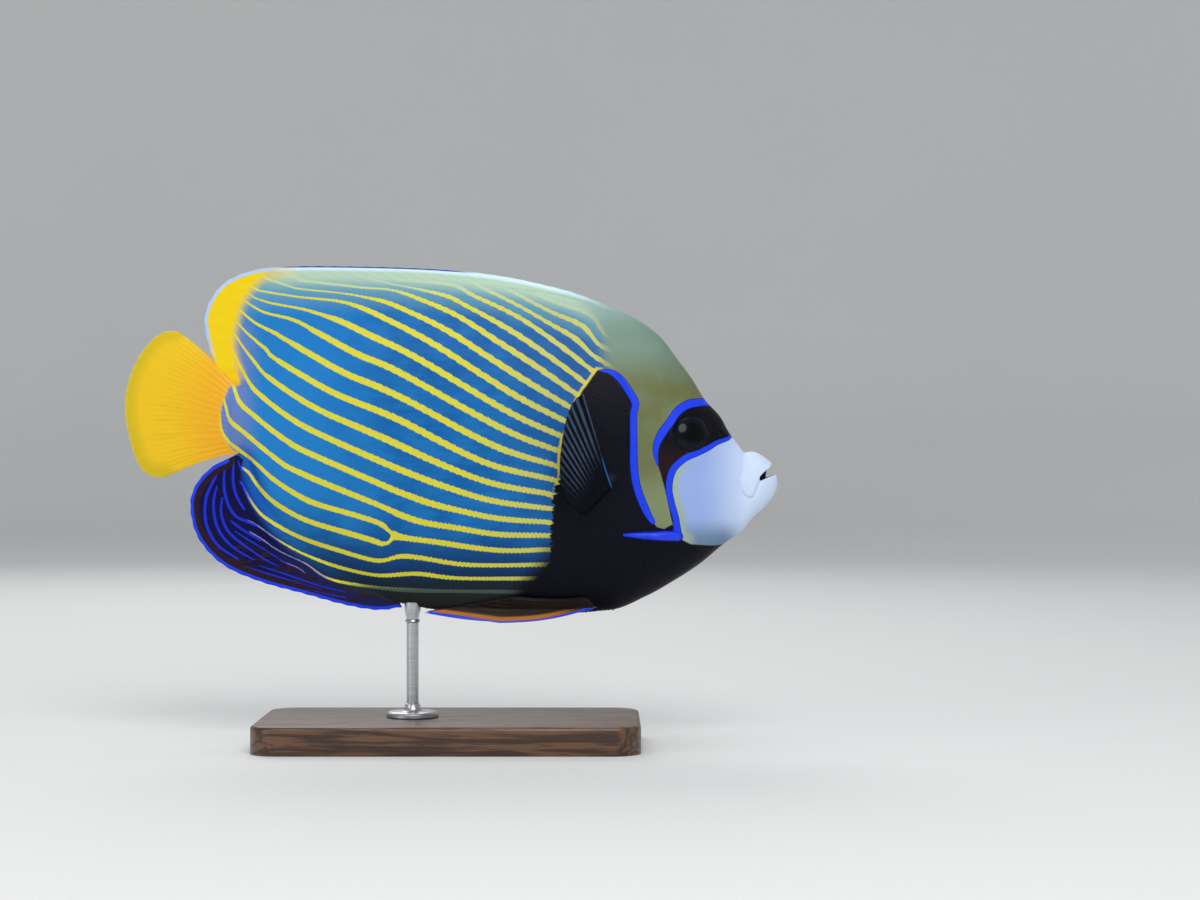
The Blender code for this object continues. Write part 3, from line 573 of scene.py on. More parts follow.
    # Where the anal fin's own fine lines take over from the stripes
    deep_fin: Points = (
        (-102.4, -5), (-104.4, -13), (-104.8, -21), (-104, -29), (-102, -35.5), (-99.8, -40.4),
        (-98.6, -46.8), (-85, -57), (-70, -64.8), (-56, -70.5), (-40, -74.5), (0, -79), (0, -100),
        (-140, -100), (-140, -5),
    )
    anal_lines: tuple[Points, ...] = (
        ((-116, -13.6, 0.5), (-119, -19.5, 0.75), (-121.6, -25.5, 0.8), (-122.5, -32.5, 0.8),
         (-121.8, -39.5, 0.8), (-119, -46, 0.75), (-114.5, -51.5, 0.7), (-106, -57, 0.55)),
        ((-116.4, -20.5, 0.5), (-118, -27, 0.7), (-117.9, -34.5, 0.75), (-116, -41.5, 0.75),
         (-112.2, -47.5, 0.7), (-106, -52.8, 0.6), (-98, -57.4, 0.4)),
        ((-113.8, -26.5, 0.5), (-114.4, -33, 0.7), (-112.6, -40, 0.75), (-108.4, -45.8, 0.7),
         (-99.4, -52.5, 0.55), (-92, -57.4, 0.45), (-85, -61, 0.3)),
        ((-107.6, -43, 0.3), (-103, -46, 0.45), (-96.4, -49.9, 0.45), (-88.6, -54.6, 0.4),
         (-79, -61, 0.25)),
        ((-112.6, -11.5, 0.5), (-112.9, -20.5, 0.75), (-111, -29.3, 0.8), (-107, -35.6, 0.75),
         (-101, -38.4, 0.7), (-96.5, -40.4, 0.6)),
        ((-108, -8.6, 0.5), (-108.4, -17, 0.75), (-106.8, -25, 0.75), (-102.8, -32.2, 0.6)),
        ((-105.8, -8, 0.4), (-105, -10.6, 0.5), (-104, -13.2, 0.4)),
        ((-109.4, -38, 0.5), (-104.6, -41.6, 0.65), (-98.8, -45.2, 0.6), (-94, -48, 0.4)),
        ((-104, -60.4, 0.35), (-90, -64.6, 0.5), (-74, -69.4, 0.4), (-64, -72.4, 0.25)),
        ((-95, -60.4, 0.3), (-82, -64.6, 0.45), (-66, -70, 0.35), (-52, -73.4, 0.2)),
        ((-80, -69.8, 0.3), (-66, -73.4, 0.45), (-52, -76.4, 0.3)),
    )
    curves: dict[str, object] = field(default_factory=dict)

    def __post_init__(self) -> None:
        """Draws each line once."""
        guides = []
        for number, points in self.stripes:
            line = smooth_path(points, 4)
            a, n = self.lean(*line.T)
            guides.append((number, smooth_function(np.stack([a, n], 1), 1.0)))
        self.curves["guides"] = guides
        self.curves["yellow"] = smooth_function(self.yellow_shares, 1.0)
        self.curves["deep_fin"] = smooth_path(self.deep_fin, 3)
        for name in ("gill_line", "mask_line", "face_line", "cheek_bar"):
            self.curves[name] = smooth_path(getattr(self, name), 5)
        self.curves["anal_lines"] = [smooth_path(points, 5) for points in self.anal_lines]
        gill, face, mask = (self.curves[name][:, :2] for name in ("gill_line", "face_line", "mask_line"))
        patch = smooth_path(self.patch_edge, 4)
        self.curves["black"] = np.vstack([patch, self.throat_edge, gill[::-1]])
        self.curves["face"] = np.vstack([face, self.face_rest])
        self.curves["mask"] = np.vstack([self.mask_top, mask, self.mask_rear, face[::-1], self.mask_front])
        self.curves["nape"] = smooth_path(self.nape_edge, 3)
        self.curves["lobe"] = smooth_path(self.dorsal_lobe, 3)
        self.curves["tail"] = np.vstack([smooth_path(self.tail_fan[:8], 3), np.array(self.tail_fan[8:])])

    def lean(self, x: Field, z: Field) -> tuple[Field, Field]:
        """Turns side-view places into distances along and across the stripes' general run."""
        c, s = math.cos(self.stripe_lean), math.sin(self.stripe_lean)
        return x * c - z * s, x * s + z * c

    def turn_at_fork(self, x: Field, z: Field) -> Field:
        """Turns round the fork from straight up, as a share of a full turn, positive behind it."""
        behind = (self.fork[0] - x) * self.fork_sharpness
        return np.arctan2(behind, z - self.fork[1]) / (2 * math.pi)

    def stripe_number(self, x: Field, z: Field) -> Field:
        """Finds where points lie among the stripes.

        Args:
            x: Places along the fish in millimetres.
            z: Heights in millimetres.

        Returns:
            The stripe number, whole on the middle of a stripe and between whole numbers elsewhere.
        """
        a, n = self.lean(x, z)
        c, s = math.cos(self.stripe_lean), math.sin(self.stripe_lean)
        levels, numbers = [], []
        for number, guide in self.curves["guides"]:
            level = guide(a * MM)
            turned = self.turn_at_fork(a * c + level * s, level * c - a * s)
            ahead = (a * c + level * s > self.fork[0]) & (number > self.fork_number)
            levels.append(level)
            numbers.append(number - ahead - turned)
        found = np.zeros_like(a)
        last = len(levels) - 2
        for k in range(last + 1):
            gap = np.maximum(levels[k] - levels[k + 1], 0.5)
            t = (levels[k] - n) / gap
            here = (t >= 0 if k else np.ones_like(t, bool)) & ((t < 1) | (k == last))
            if k:
                here &= n <= levels[k]
            value = numbers[k] + (numbers[k + 1] - numbers[k]) * t
            found = np.where(here, value, found)
        return found + self.turn_at_fork(x, z)

    def fields(self, x: Field, z: Field) -> Marks:
        """Works out what the skin's material reads.

        Args:
            x: Places along the fish in metres.
            z: Heights in metres.

        Returns:
            Named attributes of three numbers a point. Distances are in millimetres, positive inside.
        """
        x, z = x / MM, z / MM
        turn = 2 * math.pi * self.stripe_number(x, z)
        curves, lines = self.curves, self.form.lines

        def stroke(line: Field) -> Field:
            """Distance from a painted line in its half widths."""
            return from_path(x, z, line[:, :2], line[:, 2])

        blue = np.minimum.reduce([stroke(curves[k]) for k in ("mask_line", "face_line", "cheek_bar")])
        anal = np.minimum.reduce([stroke(line) for line in curves["anal_lines"]])
        sea = from_path(x, z, lines["anal_root"]) * np.where(within(x, z, lines["anal"]) > 0, 1, -1)
        share = curves["yellow"](x * MM)
        over_back = z - self.form.back(x * MM) / MM
        share = share * (1 - (1 - self.yellow_on_fin) * step_up(*self.fin_start, over_back))
        share = share * (1 - (1 - self.yellow_on_belly) * step_up(*self.belly_start, z))
        share = share * (1 - (1 - self.yellow_on_anal) * step_up(*self.anal_start, sea))
        return {
            "stripe": (np.cos(turn), np.sin(turn), share),
            "zone_a": (within(x, z, curves["black"]), stroke(curves["gill_line"]),
                       within(x, z, curves["face"])),
            "zone_b": (within(x, z, curves["mask"]), blue, within(x, z, curves["nape"])),
            "zone_c": (from_path(x, z, lines["dorsal_edge"]), from_path(x, z, lines["anal_edge"]), sea),
            "zone_d": (np.maximum(within(x, z, curves["lobe"]), within(x, z, curves["tail"])), anal,
                       within(x, z, curves["deep_fin"])),
        }

    def keep_on(self, piece: Piece) -> None:
        """Keeps the markings on the points of a piece that lies at the fish's own height."""
        places = places_of(piece)
        store_all(piece, self.fields(places[:, 0], places[:, 2]))


# Working in Blender


def deselect_all() -> None:
    """Leaves edit mode and deselects every object."""
    if bpy.context.mode != "OBJECT":
        bpy.ops.object.mode_set(mode="OBJECT")
    bpy.ops.object.select_all(action="DESELECT")


def take_up(piece: Piece) -> None:
    """Makes a piece the only selected and the active object."""
    deselect_all()
    piece.select_set(True)
    bpy.context.view_layer.objects.active = piece


def new_piece(name: str) -> Piece:
    """Names the object that a primitive has just added, and returns it."""
    piece = bpy.context.object
    piece.name = piece.data.name = name
    return piece


def finish_with(piece: Piece, kind: str, **settings: object) -> None:
    """Adds a modifier to a piece and applies it.

    Args:
        piece: The piece.
        kind: Blender's name for the modifier.
        **settings: Values for it.
    """
    modifier = piece.modifiers.new(kind.lower(), kind)
    for name, value in settings.items():
        setattr(modifier, name, value)
    take_up(piece)
    bpy.ops.object.modifier_apply(modifier=modifier.name)


def places_of(piece: Piece) -> Field:
    """The places of a piece's points, one a row."""
    places = np.empty(len(piece.data.vertices) * 3, np.float32)
    piece.data.vertices.foreach_get("co", places)
    return places.reshape(-1, 3).astype(float)


def set_places(piece: Piece, places: Field) -> None:
    """Moves a piece's points to these places."""
    piece.data.vertices.foreach_set("co", places.astype(np.float32).ravel())
    piece.data.update()


def store(piece: Piece, name: str, *columns: Field) -> None:
    """Keeps up to three numbers a point on a piece under an attribute's name; the rest stays 0."""
    three = np.stack([*columns, *[0 * columns[0]] * (3 - len(columns))], 1).astype(np.float32)
    piece.data.attributes.new(name, "FLOAT_VECTOR", "POINT").data.foreach_set("vector", three.ravel())


def store_all(piece: Piece, fields: Marks) -> None:
    """Keeps every one of some named fields on a piece."""
    for name, columns in fields.items():
        store(piece, name, *columns)


def make_whole(piece: Piece, weld: float = WELD) -> None:
    """Welds a piece's doubles, closes its holes and turns its faces outwards.

    Args:
        piece: The piece.
        weld: How near two points are that become one.
    """
    take_up(piece)
    bpy.ops.object.mode_set(mode="EDIT")
    bpy.ops.mesh.select_all(action="SELECT")
    bpy.ops.mesh.remove_doubles(threshold=weld)
    bpy.ops.mesh.select_all(action="SELECT")
    bpy.ops.mesh.fill_holes(sides=0)
    bpy.ops.mesh.select_all(action="SELECT")
    bpy.ops.mesh.normals_make_consistent(inside=False)
    bpy.ops.object.mode_set(mode="OBJECT")


def add_left_half(piece: Piece, weld: float = WELD) -> None:
    """Mirrors a right half over the middle plane and closes the two into one form."""
    finish_with(piece, "MIRROR", use_axis=(False, True, False), merge_threshold=FINE_WELD)
    make_whole(piece, weld)


def shade_smooth(piece: Piece, angle: float) -> None:
    """Shades a piece smooth, with edges sharper than an angle in degrees kept."""
    take_up(piece)
    bpy.ops.object.shade_smooth_by_angle(angle=math.radians(angle))


def formed_sheet(name: str, columns: int, rows: int, form: SheetForm) -> Piece:
    """Adds a grid and sets its points on a form.

    Args:
        name: The piece's name.
        columns: Faces along the first direction.
        rows: Faces along the second.
        form: Gives points, one a row, for shares from 0 to 1 in both directions.

    Returns:
        The new piece, whose map keeps the two shares.
    """
    deselect_all()
    bpy.ops.mesh.primitive_grid_add(x_subdivisions=columns, y_subdivisions=rows, size=2.0)
    sheet = new_piece(name)
    flat = places_of(sheet)
    across, up = (flat[:, 0] + 1) / 2, (flat[:, 1] + 1) / 2
    set_places(sheet, form(across, up))
    return sheet


def kept_shares(sheet: Piece) -> tuple[Field, Field]:
    """Reads a formed sheet's shares back from its map.

    Args:
        sheet: The piece that formed_sheet has made.

    Returns:
        The share in each of the two directions, for each of its points.
    """
    shares = np.empty(len(sheet.data.loops) * 2, np.float32)
    sheet.data.uv_layers.active.uv.foreach_get("vector", shares)
    corners = np.empty(len(sheet.data.loops), np.int32)
    sheet.data.loops.foreach_get("vertex_index", corners)
    kept = np.empty((len(sheet.data.vertices), 2))
    kept[corners] = shares.reshape(-1, 2)
    return kept[:, 0], kept[:, 1]


def turned(name: str, profile: Points, segments: int, capped: bool) -> Piece:
    """Turns a profile round the upright axis, ring by ring.

    Args:
        name: The piece's name.
        profile: (radius, height) of each ring in metres, from the bottom up.
        segments: Faces round it.
        capped: Whether its top is closed as its bottom is.

    Returns:
        The piece.
    """
    deselect_all()
    radius, height = profile[0]
    bpy.ops.mesh.primitive_circle_add(vertices=segments, radius=radius, fill_type="NGON")
    piece = new_piece(name)
    set_places(piece, places_of(piece) + np.array([0.0, 0.0, height]))
    bpy.ops.object.mode_set(mode="EDIT")
    bpy.ops.mesh.select_all(action="SELECT")
    bpy.ops.mesh.region_to_loop()
    for (r0, z0), (r1, z1) in zip(profile, profile[1:]):
        bpy.ops.mesh.extrude_edges_move(TRANSFORM_OT_translate={"value": (0, 0, z1 - z0)})
        bpy.ops.transform.resize(value=(r1 / r0, r1 / r0, 1), center_override=(0, 0, z1))
    if capped:
        bpy.ops.mesh.edge_face_add()
        bpy.ops.mesh.select_all(action="SELECT")
        bpy.ops.mesh.normals_make_consistent(inside=False)
    bpy.ops.object.mode_set(mode="OBJECT")
    return piece


def mirrored(piece: Piece, name: str) -> Piece:
    """Copies a piece, mesh and all, to the fish's other side.

    Args:
        piece: The piece to copy.
        name: The copy's name.

    Returns:
        The copy, with its faces outwards.
    """
    take_up(piece)
    bpy.ops.object.duplicate()
    copy = new_piece(name)
    places = places_of(copy)
    places[:, 1] = -places[:, 1]
    set_places(copy, places)
    copy.data.flip_normals()
    return copy


def raised(points: Field) -> Field:
    """Points of the fish lifted from its own mid-line to its swimming height."""
    return points + np.array([0.0, 0.0, SWIM_HEIGHT])


def raise_up(piece: Piece) -> None:
    """Lifts a piece of the fish to its swimming height."""
    set_places(piece, raised(places_of(piece)))


def mount(piece: Piece, material: Material, slot: str, *nodes: str) -> None:
    """Dresses a piece, lets it ride and reports it.

    Args:
        piece: The finished piece.
        material: What it wears.
        slot: The record's material slot; not used.
        *nodes: CAD nodes that it stands for.
    """
    piece.data.materials.clear()
    piece.data.materials.append(material)
    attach(piece, BODY)
    if nodes:
        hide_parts(*nodes)
    log.info("%s: %d faces, for %s", piece.name, len(piece.data.polygons), ", ".join(nodes) or "itself")


# Finishes


@dataclass(frozen=True)
class Colour:
    """A colour as red, green and blue from 0 to 255, as a screen shows them."""

    red: float
    green: float
    blue: float

    @property
    def rgba(self) -> tuple[float, float, float, float]:
        """The colour as Blender's linear numbers."""
        parts = [part / 255 for part in (self.red, self.green, self.blue)]
        linear = [p / 12.92 if p <= 0.04045 else ((p + 0.055) / 1.055) ** 2.4 for p in parts]
        return (*linear, 1.0)


Socket = bpy.types.NodeSocket


class Painter:
    """Builds one material's nodes, with short calls for the steps that finishes share."""

    def __init__(self, name: str) -> None:
        """Starts a material with a plain shader."""
        self.material = bpy.data.materials.new(name)
        self.material.use_nodes = True
        self.tree = self.material.node_tree
        self.shader = self.tree.nodes["Principled BSDF"]
        self.place = self.node("TexCoord").outputs["Object"]

    def node(self, kind: str, inputs: dict | None = None, **settings: object) -> bpy.types.Node:
        """Adds a node.

        Args:
            kind: Blender's name for it, without its prefix.
            inputs: A value or another node's output for each input by name or number.
            **settings: Its own settings.

        Returns:
            The node.
        """
        made = self.tree.nodes.new(f"ShaderNode{kind}")
        for name, value in settings.items():
            setattr(made, name, value)
        for name, value in (inputs or {}).items():
            self.feed(made.inputs[name], value)
        return made

    def feed(self, socket: Socket, value: object) -> None:
        """Links an output to an input, or sets the input's value.

        Args:
            socket: The input.
            value: Another node's output, a colour or a plain value.
        """
        if isinstance(value, Socket):
            self.tree.links.new(value, socket)
        elif isinstance(value, Colour):
            socket.default_value = value.rgba
        else:
            socket.default_value = value

    def parts(self, attribute: str) -> tuple[Socket, Socket, Socket]:
        """The three numbers of an attribute."""
        read = self.node("Attribute", attribute_name=attribute).outputs["Vector"]
        split = self.node("SeparateXYZ", {0: read})
        return split.outputs[0], split.outputs[1], split.outputs[2]

    def math(self, kind: str, first: object, second: object = 0.0, third: object = 0.0) -> Socket:
        """One step of arithmetic on two or three numbers."""
        return self.node("Math", {0: first, 1: second, 2: third}, operation=kind).outputs[0]

    def rise(self, value: object, low: float, high: float) -> Socket:
        """0 where a value is at low or beyond, 1 at high or beyond, smooth in between."""
        fit = {"Value": value, "From Min": low, "From Max": high}
        return self.node("MapRange", fit, interpolation_type="SMOOTHSTEP").outputs[0]

    def times(self, *factors: object) -> Socket:
        """Masks or numbers multiplied together."""
        found = factors[0]
        for factor in factors[1:]:
            found = self.math("MULTIPLY", found, factor)
        return found

    def noise(self, size: float, detail: float = 2.0, stretch: Sequence[float] = (1, 1, 1)) -> Socket:
        """Noise from 0 to 1 on the piece's own place, with features of about a size in metres."""
        place = self.node("Mapping", {"Vector": self.place, "Scale": stretch}).outputs[0]
        inputs = {"Vector": place, "Scale": 1 / size, "Detail": detail}
        return self.node("TexNoise", inputs).outputs[0]

    def ray_noise(self, share: Socket, reach: Socket, over: float, out: float) -> Socket:
        """Noise drawn out along a fin's rays, with so many features over the rays and out along them."""
        lines = self.node("CombineXYZ", {0: self.times(share, over), 1: self.times(reach, out)}).outputs[0]
        return self.node("TexNoise", {"Vector": lines, "Scale": 1.0, "Detail": 2.0}).outputs[0]

    def over(self, under: object, paint: object, mask: object) -> Socket:
        """Paint laid over what is under it where the mask is 1."""
        mix = self.node("Mix", {0: mask, 6: under, 7: paint}, data_type="RGBA")
        return mix.outputs[2]

    def layered(self, under: object, *coats: tuple[object, object]) -> Socket:
        """Coats of paint, each with its mask, laid one over another from the bottom up."""
        for paint, mask in coats:
            under = self.over(under, paint, mask)
        return under

    def bump(self, height: Socket, depth: float, strength: float = 1.0) -> Socket:
        """A normal from a height map of a depth in metres."""
        inputs = {"Height": height, "Distance": depth, "Strength": strength}
        return self.node("Bump", inputs).outputs["Normal"]

    def finish(self, colour: object, roughness: object, **more: object) -> Material:
        """Sets the shader's sockets and returns the material.

        Args:
            colour: Base colour.
            roughness: Roughness.
            **more: Other sockets by name, with underscores for spaces.

        Returns:
            The material.
        """
        self.feed(self.shader.inputs["Base Color"], colour)
        self.feed(self.shader.inputs["Roughness"], roughness)
        for name, value in more.items():
            self.feed(self.shader.inputs[name.replace("_", " ")], value)
        return self.material


Coat = tuple[object, object]


@dataclass(frozen=True)
class SkinPlace:
    """What the skin's colours read: place along the fish in metres, height over its mid-line in
    millimetres, and the numbers of the zones that Markings.fields gives, in their order."""

    x: Socket
    height: Socket
    black: Socket
    gill: Socket
    face: Socket
    mask: Socket
    blue: Socket
    nape: Socket
    top: Socket
    under: Socket
    sea: Socket
    gold: Socket
    anal: Socket
    deep: Socket

    @classmethod
    def read(cls, p: Painter) -> "SkinPlace":
        """Reads them all into a material's nodes."""
        x, _, z = p.node("SeparateXYZ", {0: p.place}).outputs
        height = p.math("MULTIPLY_ADD", z, 1000.0, -1000.0 * SWIM_HEIGHT)
        return cls(x, height, *(part for zone in "abcd" for part in p.parts(f"zone_{zone}")))


@dataclass(frozen=True)
class SkinFinish:
    """The fish's skin and scales, painted from the markings kept on each point.

    Two numbers beside a reading are where a coat of paint ends and where it covers.
    """

    deep_blue: Colour = Colour(10, 92, 162)
    bright_blue: Colour = Colour(26, 114, 184)
    rear_blue: Colour = Colour(30, 124, 196)
    front_blue: Colour = Colour(34, 84, 146)
    root_blue: Colour = Colour(8, 78, 176)
    upper_teal: Colour = Colour(110, 162, 178)
    # Painted shade of the lower flank, darkest as slate at the bottom
    low_blue: Colour = Colour(14, 50, 96)
    low_slate: Colour = Colour(24, 40, 50)
    tail_violet: Colour = Colour(112, 128, 186)
    yellow: Colour = Colour(216, 212, 62)
    warm_yellow: Colour = Colour(222, 204, 62)
    pale_stripe: Colour = Colour(196, 212, 150)
    front_stripe: Colour = Colour(178, 186, 126)
    lilac_stripe: Colour = Colour(120, 122, 186)
    # Painted shade on the lowest stripes
    dull_stripe: Colour = Colour(92, 112, 96)
    fin_blue: Colour = Colour(30, 62, 224)
    fin_line: Colour = Colour(24, 46, 196)
    navy: Colour = Colour(3, 4, 62)
    violet_navy: Colour = Colour(26, 26, 78)
    maroon: Colour = Colour(40, 20, 34)
    olive: Colour = Colour(110, 115, 74)
    nape: Colour = Colour(122, 148, 134)
    # Painted top light on the nape's upper part
    high_nape: Colour = Colour(166, 194, 192)
    band: Colour = Colour(130, 142, 104)
    gold: Colour = Colour(240, 206, 20)
    orange: Colour = Colour(240, 186, 22)
    # The dorsal fin's own pale rim; towards the nape it is a painted highlight
    rim_pale: Colour = Colour(211, 239, 252)
    rim_blue: Colour = Colour(176, 200, 238)
    rim_navy: Colour = Colour(28, 44, 160)
    top_olive: Colour = Colour(180, 206, 182)
    black: Colour = Colour(4, 5, 20)
    # Painted shade: the underside of the belly darkens towards near black
    belly_black: Colour = Colour(38, 41, 41)
    mask_black: Colour = Colour(8, 8, 18)
    mask_maroon: Colour = Colour(34, 16, 20)
    line_blue: Colour = Colour(30, 66, 236)
    line_edge: Colour = Colour(14, 24, 140)
    face: Colour = Colour(152, 177, 232)
    face_light: Colour = Colour(206, 222, 248)
    face_low: Colour = Colour(112, 138, 168)
    face_green: Colour = Colour(160, 180, 168)
    # Painted shade inside the mouth
    mouth: Colour = Colour(22, 12, 16)
    # Heights over which the upper flank's paler colours set in
    high_flank: Band = (36.0, 56.0)
    # The stripes' edge and its waver, in shares of their spacing
    stripe_edge: Band = (0.010, 0.052)
    stripe_waver: float = 0.06
    # The sharp edges of mask and face, and how far the black patch's teeth reach, in millimetres
    sharp: Band = (-0.3, 0.3)
    teeth: float = 7.0

    def stripes(self, p: Painter, at: SkinPlace) -> tuple[Socket, Socket]:
        """Paints the stripes, dimmed by painted shade towards the belly.

        Args:
            p: The material's painter.
            at: What the colours read.

        Returns:
            Their colour, and the mask of where they lie.
        """
        cosine, sine, share = p.parts("stripe")
        off = p.times(p.math("ABSOLUTE", p.math("ARCTAN2", sine, cosine)), 1 / (2 * math.pi))
        inside = p.math("SUBTRACT", p.times(share, 0.5), off)
        wavy = p.math("MULTIPLY_ADD", p.noise(0.0006, 1.0, (1.5, 1.0, 0.6)), self.stripe_waver, inside)
        colour = p.layered(
            self.yellow,
            (self.warm_yellow, p.rise(p.noise(0.003), 0.45, 0.7)),
            (self.pale_stripe, p.times(p.rise(at.top, 17, 7), p.rise(at.height, *self.high_flank))),
            (self.front_stripe, p.times(p.rise(at.x, -0.005, 0.060), 0.5)),
            (self.lilac_stripe, p.rise(at.sea, 4.5, 6.5)),
            (self.fin_blue, p.times(p.rise(at.x, -0.0985, -0.1035), p.rise(at.sea, 3, 5))),
            # Painted shade: the stripes dim towards the belly
            (self.dull_stripe, p.rise(at.height, -68, -72)),
        )
        return colour, p.rise(wavy, *self.stripe_edge)

    def ground(self, p: Painter, at: SkinPlace) -> Socket:
        """Paints the blue between the stripes, darkened by painted shade towards the belly.

        Args:
            p: The material's painter.
            at: What the colours read.

        Returns:
            The ground's colour.
        """
        patches, streaks = p.noise(0.022, 3.0), p.noise(0.004, 2.0, (0.35, 1.0, 1.6))
        mixed = p.math("ADD", p.times(patches, 0.7), p.times(streaks, 0.3))
        upper = p.times(p.rise(at.top, 26, 9), p.rise(at.height, *self.high_flank))
        stalk = p.times(p.rise(at.x, -0.092, -0.106), p.rise(at.height, -12, 0), p.rise(at.height, 72, 50))
        by_fin = p.times(p.rise(at.sea, -8, -1), p.rise(at.x, -0.080, -0.096))
        # Painted shade: the ground darkens towards the belly, to slate at the bottom
        low = p.over(self.low_blue, self.low_slate, p.rise(at.height, -61, -71))
        fin = p.over(self.navy, self.violet_navy, p.rise(at.x, -0.094, -0.072))
        return p.layered(
            self.deep_blue,
            (self.bright_blue, p.rise(mixed, 0.34, 0.66)),
            (self.rear_blue, p.times(p.rise(at.x, -0.015, -0.080), p.rise(at.height, -50, -20))),
            (self.front_blue, p.times(p.rise(at.x, 0.015, 0.070), 0.6)),
            (self.upper_teal, p.times(upper, 0.85)),
            (self.tail_violet, p.times(stalk, 0.75)),
            (self.root_blue, p.times(by_fin, 0.8)),
            # painted shade from 36 mm under the mid-line down
            (low, p.rise(at.height, -36, -67)),
            (fin, p.rise(at.sea, 2, 8)),
        )

    def anal_fin(self, p: Painter, at: SkinPlace) -> list[Coat]:
        """Paints the anal fin's own ground, fine lines, brown band and blue rim.

        Args:
            p: The material's painter.
            at: What the colours read.

        Returns:
            The coats, from the bottom up.
        """
        on_fin = p.rise(at.sea, 0.3, 1.6)
        streak = p.rise(p.noise(0.0015, 1.0, (0.16, 1.0, 1.0)), 0.5, 0.62)
        fin = p.layered(
            self.navy,
            (self.violet_navy, p.rise(at.x, -0.094, -0.060)),
            (self.maroon, p.times(streak, p.rise(at.height, -38, -54))),
        )
        return [
            (fin, p.times(on_fin, p.rise(at.deep, -0.6, 0.8))),
            (self.fin_line, p.times(on_fin, p.rise(at.anal, 1.15, 0.7))),
            (self.maroon, p.times(on_fin, p.rise(at.under, 5.4, 4.2), p.rise(at.x, -0.050, -0.075))),
            (self.fin_blue, p.times(on_fin, p.rise(at.under, 2.1, 1.6))),
        ]

    def back_and_nape(self, p: Painter, at: SkinPlace) -> list[Coat]:
        """Paints the dorsal fin's olive, pale and golden parts, and the nape down to the gill line, with
        painted top light on the nape.

        Args:
            p: The material's painter.
            at: What the colours read.

        Returns:
            The coats, from the bottom up.
        """
        upper = p.times(p.rise(at.height, 40, 56), p.rise(at.x, 0.104, 0.080))
        behind, ahead = p.rise(at.x, -0.078, -0.096), p.rise(at.x, -0.100, -0.080)
        nape = p.layered(
            self.olive,
            (self.nape, p.rise(at.height, 26, 52)),
            # Painted top light: the nape pales towards its upper outline
            (self.high_nape, p.rise(at.height, 54, 80)),
            (self.band, p.rise(at.height, -8, -30)),
            (self.nape, p.times(p.rise(p.noise(0.012, 3.0), 0.4, 0.7), 0.25)),
        )
        golden = p.over(self.orange, self.gold, p.rise(at.height, 24, 44))
        golden_edge = p.math("MULTIPLY_ADD", p.noise(0.003), 1.6, at.gold)
        soft = p.times(p.rise(at.height, 28, 40), p.rise(golden_edge, -5, 2))
        along_top = p.times(p.rise(at.top, 9, 3), p.rise(at.x, -0.072, -0.092), p.rise(at.height, 70, 80))
        golden_mask = p.math("MAXIMUM", p.math("MAXIMUM", soft, p.rise(golden_edge, -0.6, 1.8)),
                             p.times(along_top, 0.6))
        return [
            (self.top_olive, p.times(upper, p.rise(at.top, 13, 4), ahead)),
            (nape, p.rise(p.math("MULTIPLY_ADD", p.noise(0.004), 4.0, at.nape), -3, 7)),
            # The fin's pale rim, fading forwards towards the nape as a painted highlight
            (self.rim_pale, p.times(upper, p.rise(at.top, 3, 1.1), ahead, p.rise(at.x, 0.090, 0.045))),
            (self.rim_navy, p.times(upper, p.rise(at.top, 0.9, 0.5), p.rise(at.x, 0.015, 0), ahead)),
            (golden, p.times(golden_mask, p.rise(at.sea, 0.6, 0.2))),
            (self.rim_blue, p.times(upper, p.rise(at.top, 2.2, 1.5), behind)),
        ]

    def head(self, p: Painter, at: SkinPlace) -> list[Coat]:
        """Paints black patch and throat, mask, pale face and the blue lines.

        Args:
            p: The material's painter.
            at: What the colours read.

        Returns:
            The coats, from the bottom up.
        """
        # A thin yellow line runs behind the black patch
        line = p.times(p.rise(at.black, -1.6, -1.1), p.rise(at.height, -30, -8), p.rise(at.x, 0.078, 0.074))
        # The patch's rear edge is ragged beside the pectoral fin and soft near the belly
        ragged = p.times(p.rise(at.height, -6, -20), p.rise(at.x, 0.085, 0.070))
        teeth = p.times(p.math("SUBTRACT", p.noise(0.0014, 2.0, (0.3, 1.0, 1.0)), 0.5), self.teeth)
        patch = p.rise(p.math("MULTIPLY_ADD", teeth, ragged, at.black), -0.2, 0.4)
        soft = p.times(p.rise(at.height, -40, -62), p.rise(at.black, -9, 1))
        mask = p.over(self.mask_maroon, self.mask_black, p.rise(at.height, -9, 4))
        chin = p.times(p.rise(at.height, -35, -48), p.rise(at.x, 0.148, 0.136))
        green = p.times(p.rise(at.face, 6.5, 3), p.rise(at.height, -6, -14), p.rise(at.x, 0.124, 0.118))
        face = p.layered(
            self.face,
            (self.face_light, p.rise(at.x, 0.122, 0.152)),
            (self.face_low, chin),
            (self.face_green, green),
        )
        nearest = p.math("MINIMUM", at.gill, at.blue)
        return [
            (self.warm_yellow, p.times(line, 0.85)),
            (self.black, p.math("MAXIMUM", patch, soft)),
            (mask, p.rise(at.mask, *self.sharp)),
            (face, p.rise(at.face, *self.sharp)),
            (self.line_edge, p.rise(nearest, 1.22, 1.04)),
            (self.line_blue, p.rise(nearest, 1.02, 0.84)),
        ]

    def colour(self, p: Painter) -> Socket:
        """Every marking, with the painted shade and light among them, in its order from the bottom up, as
        one colour.
        """
        at = SkinPlace.read(p)
        return p.layered(
            self.ground(p, at),
            self.stripes(p, at),
            # Painted shade: near black under the belly, setting in 68 mm under the mid-line and full by 79
            # mm
            (self.belly_black, p.rise(at.height, -68, -79)),
            *self.anal_fin(p, at),
            *self.back_and_nape(p, at),
            *self.head(p, at),
        )

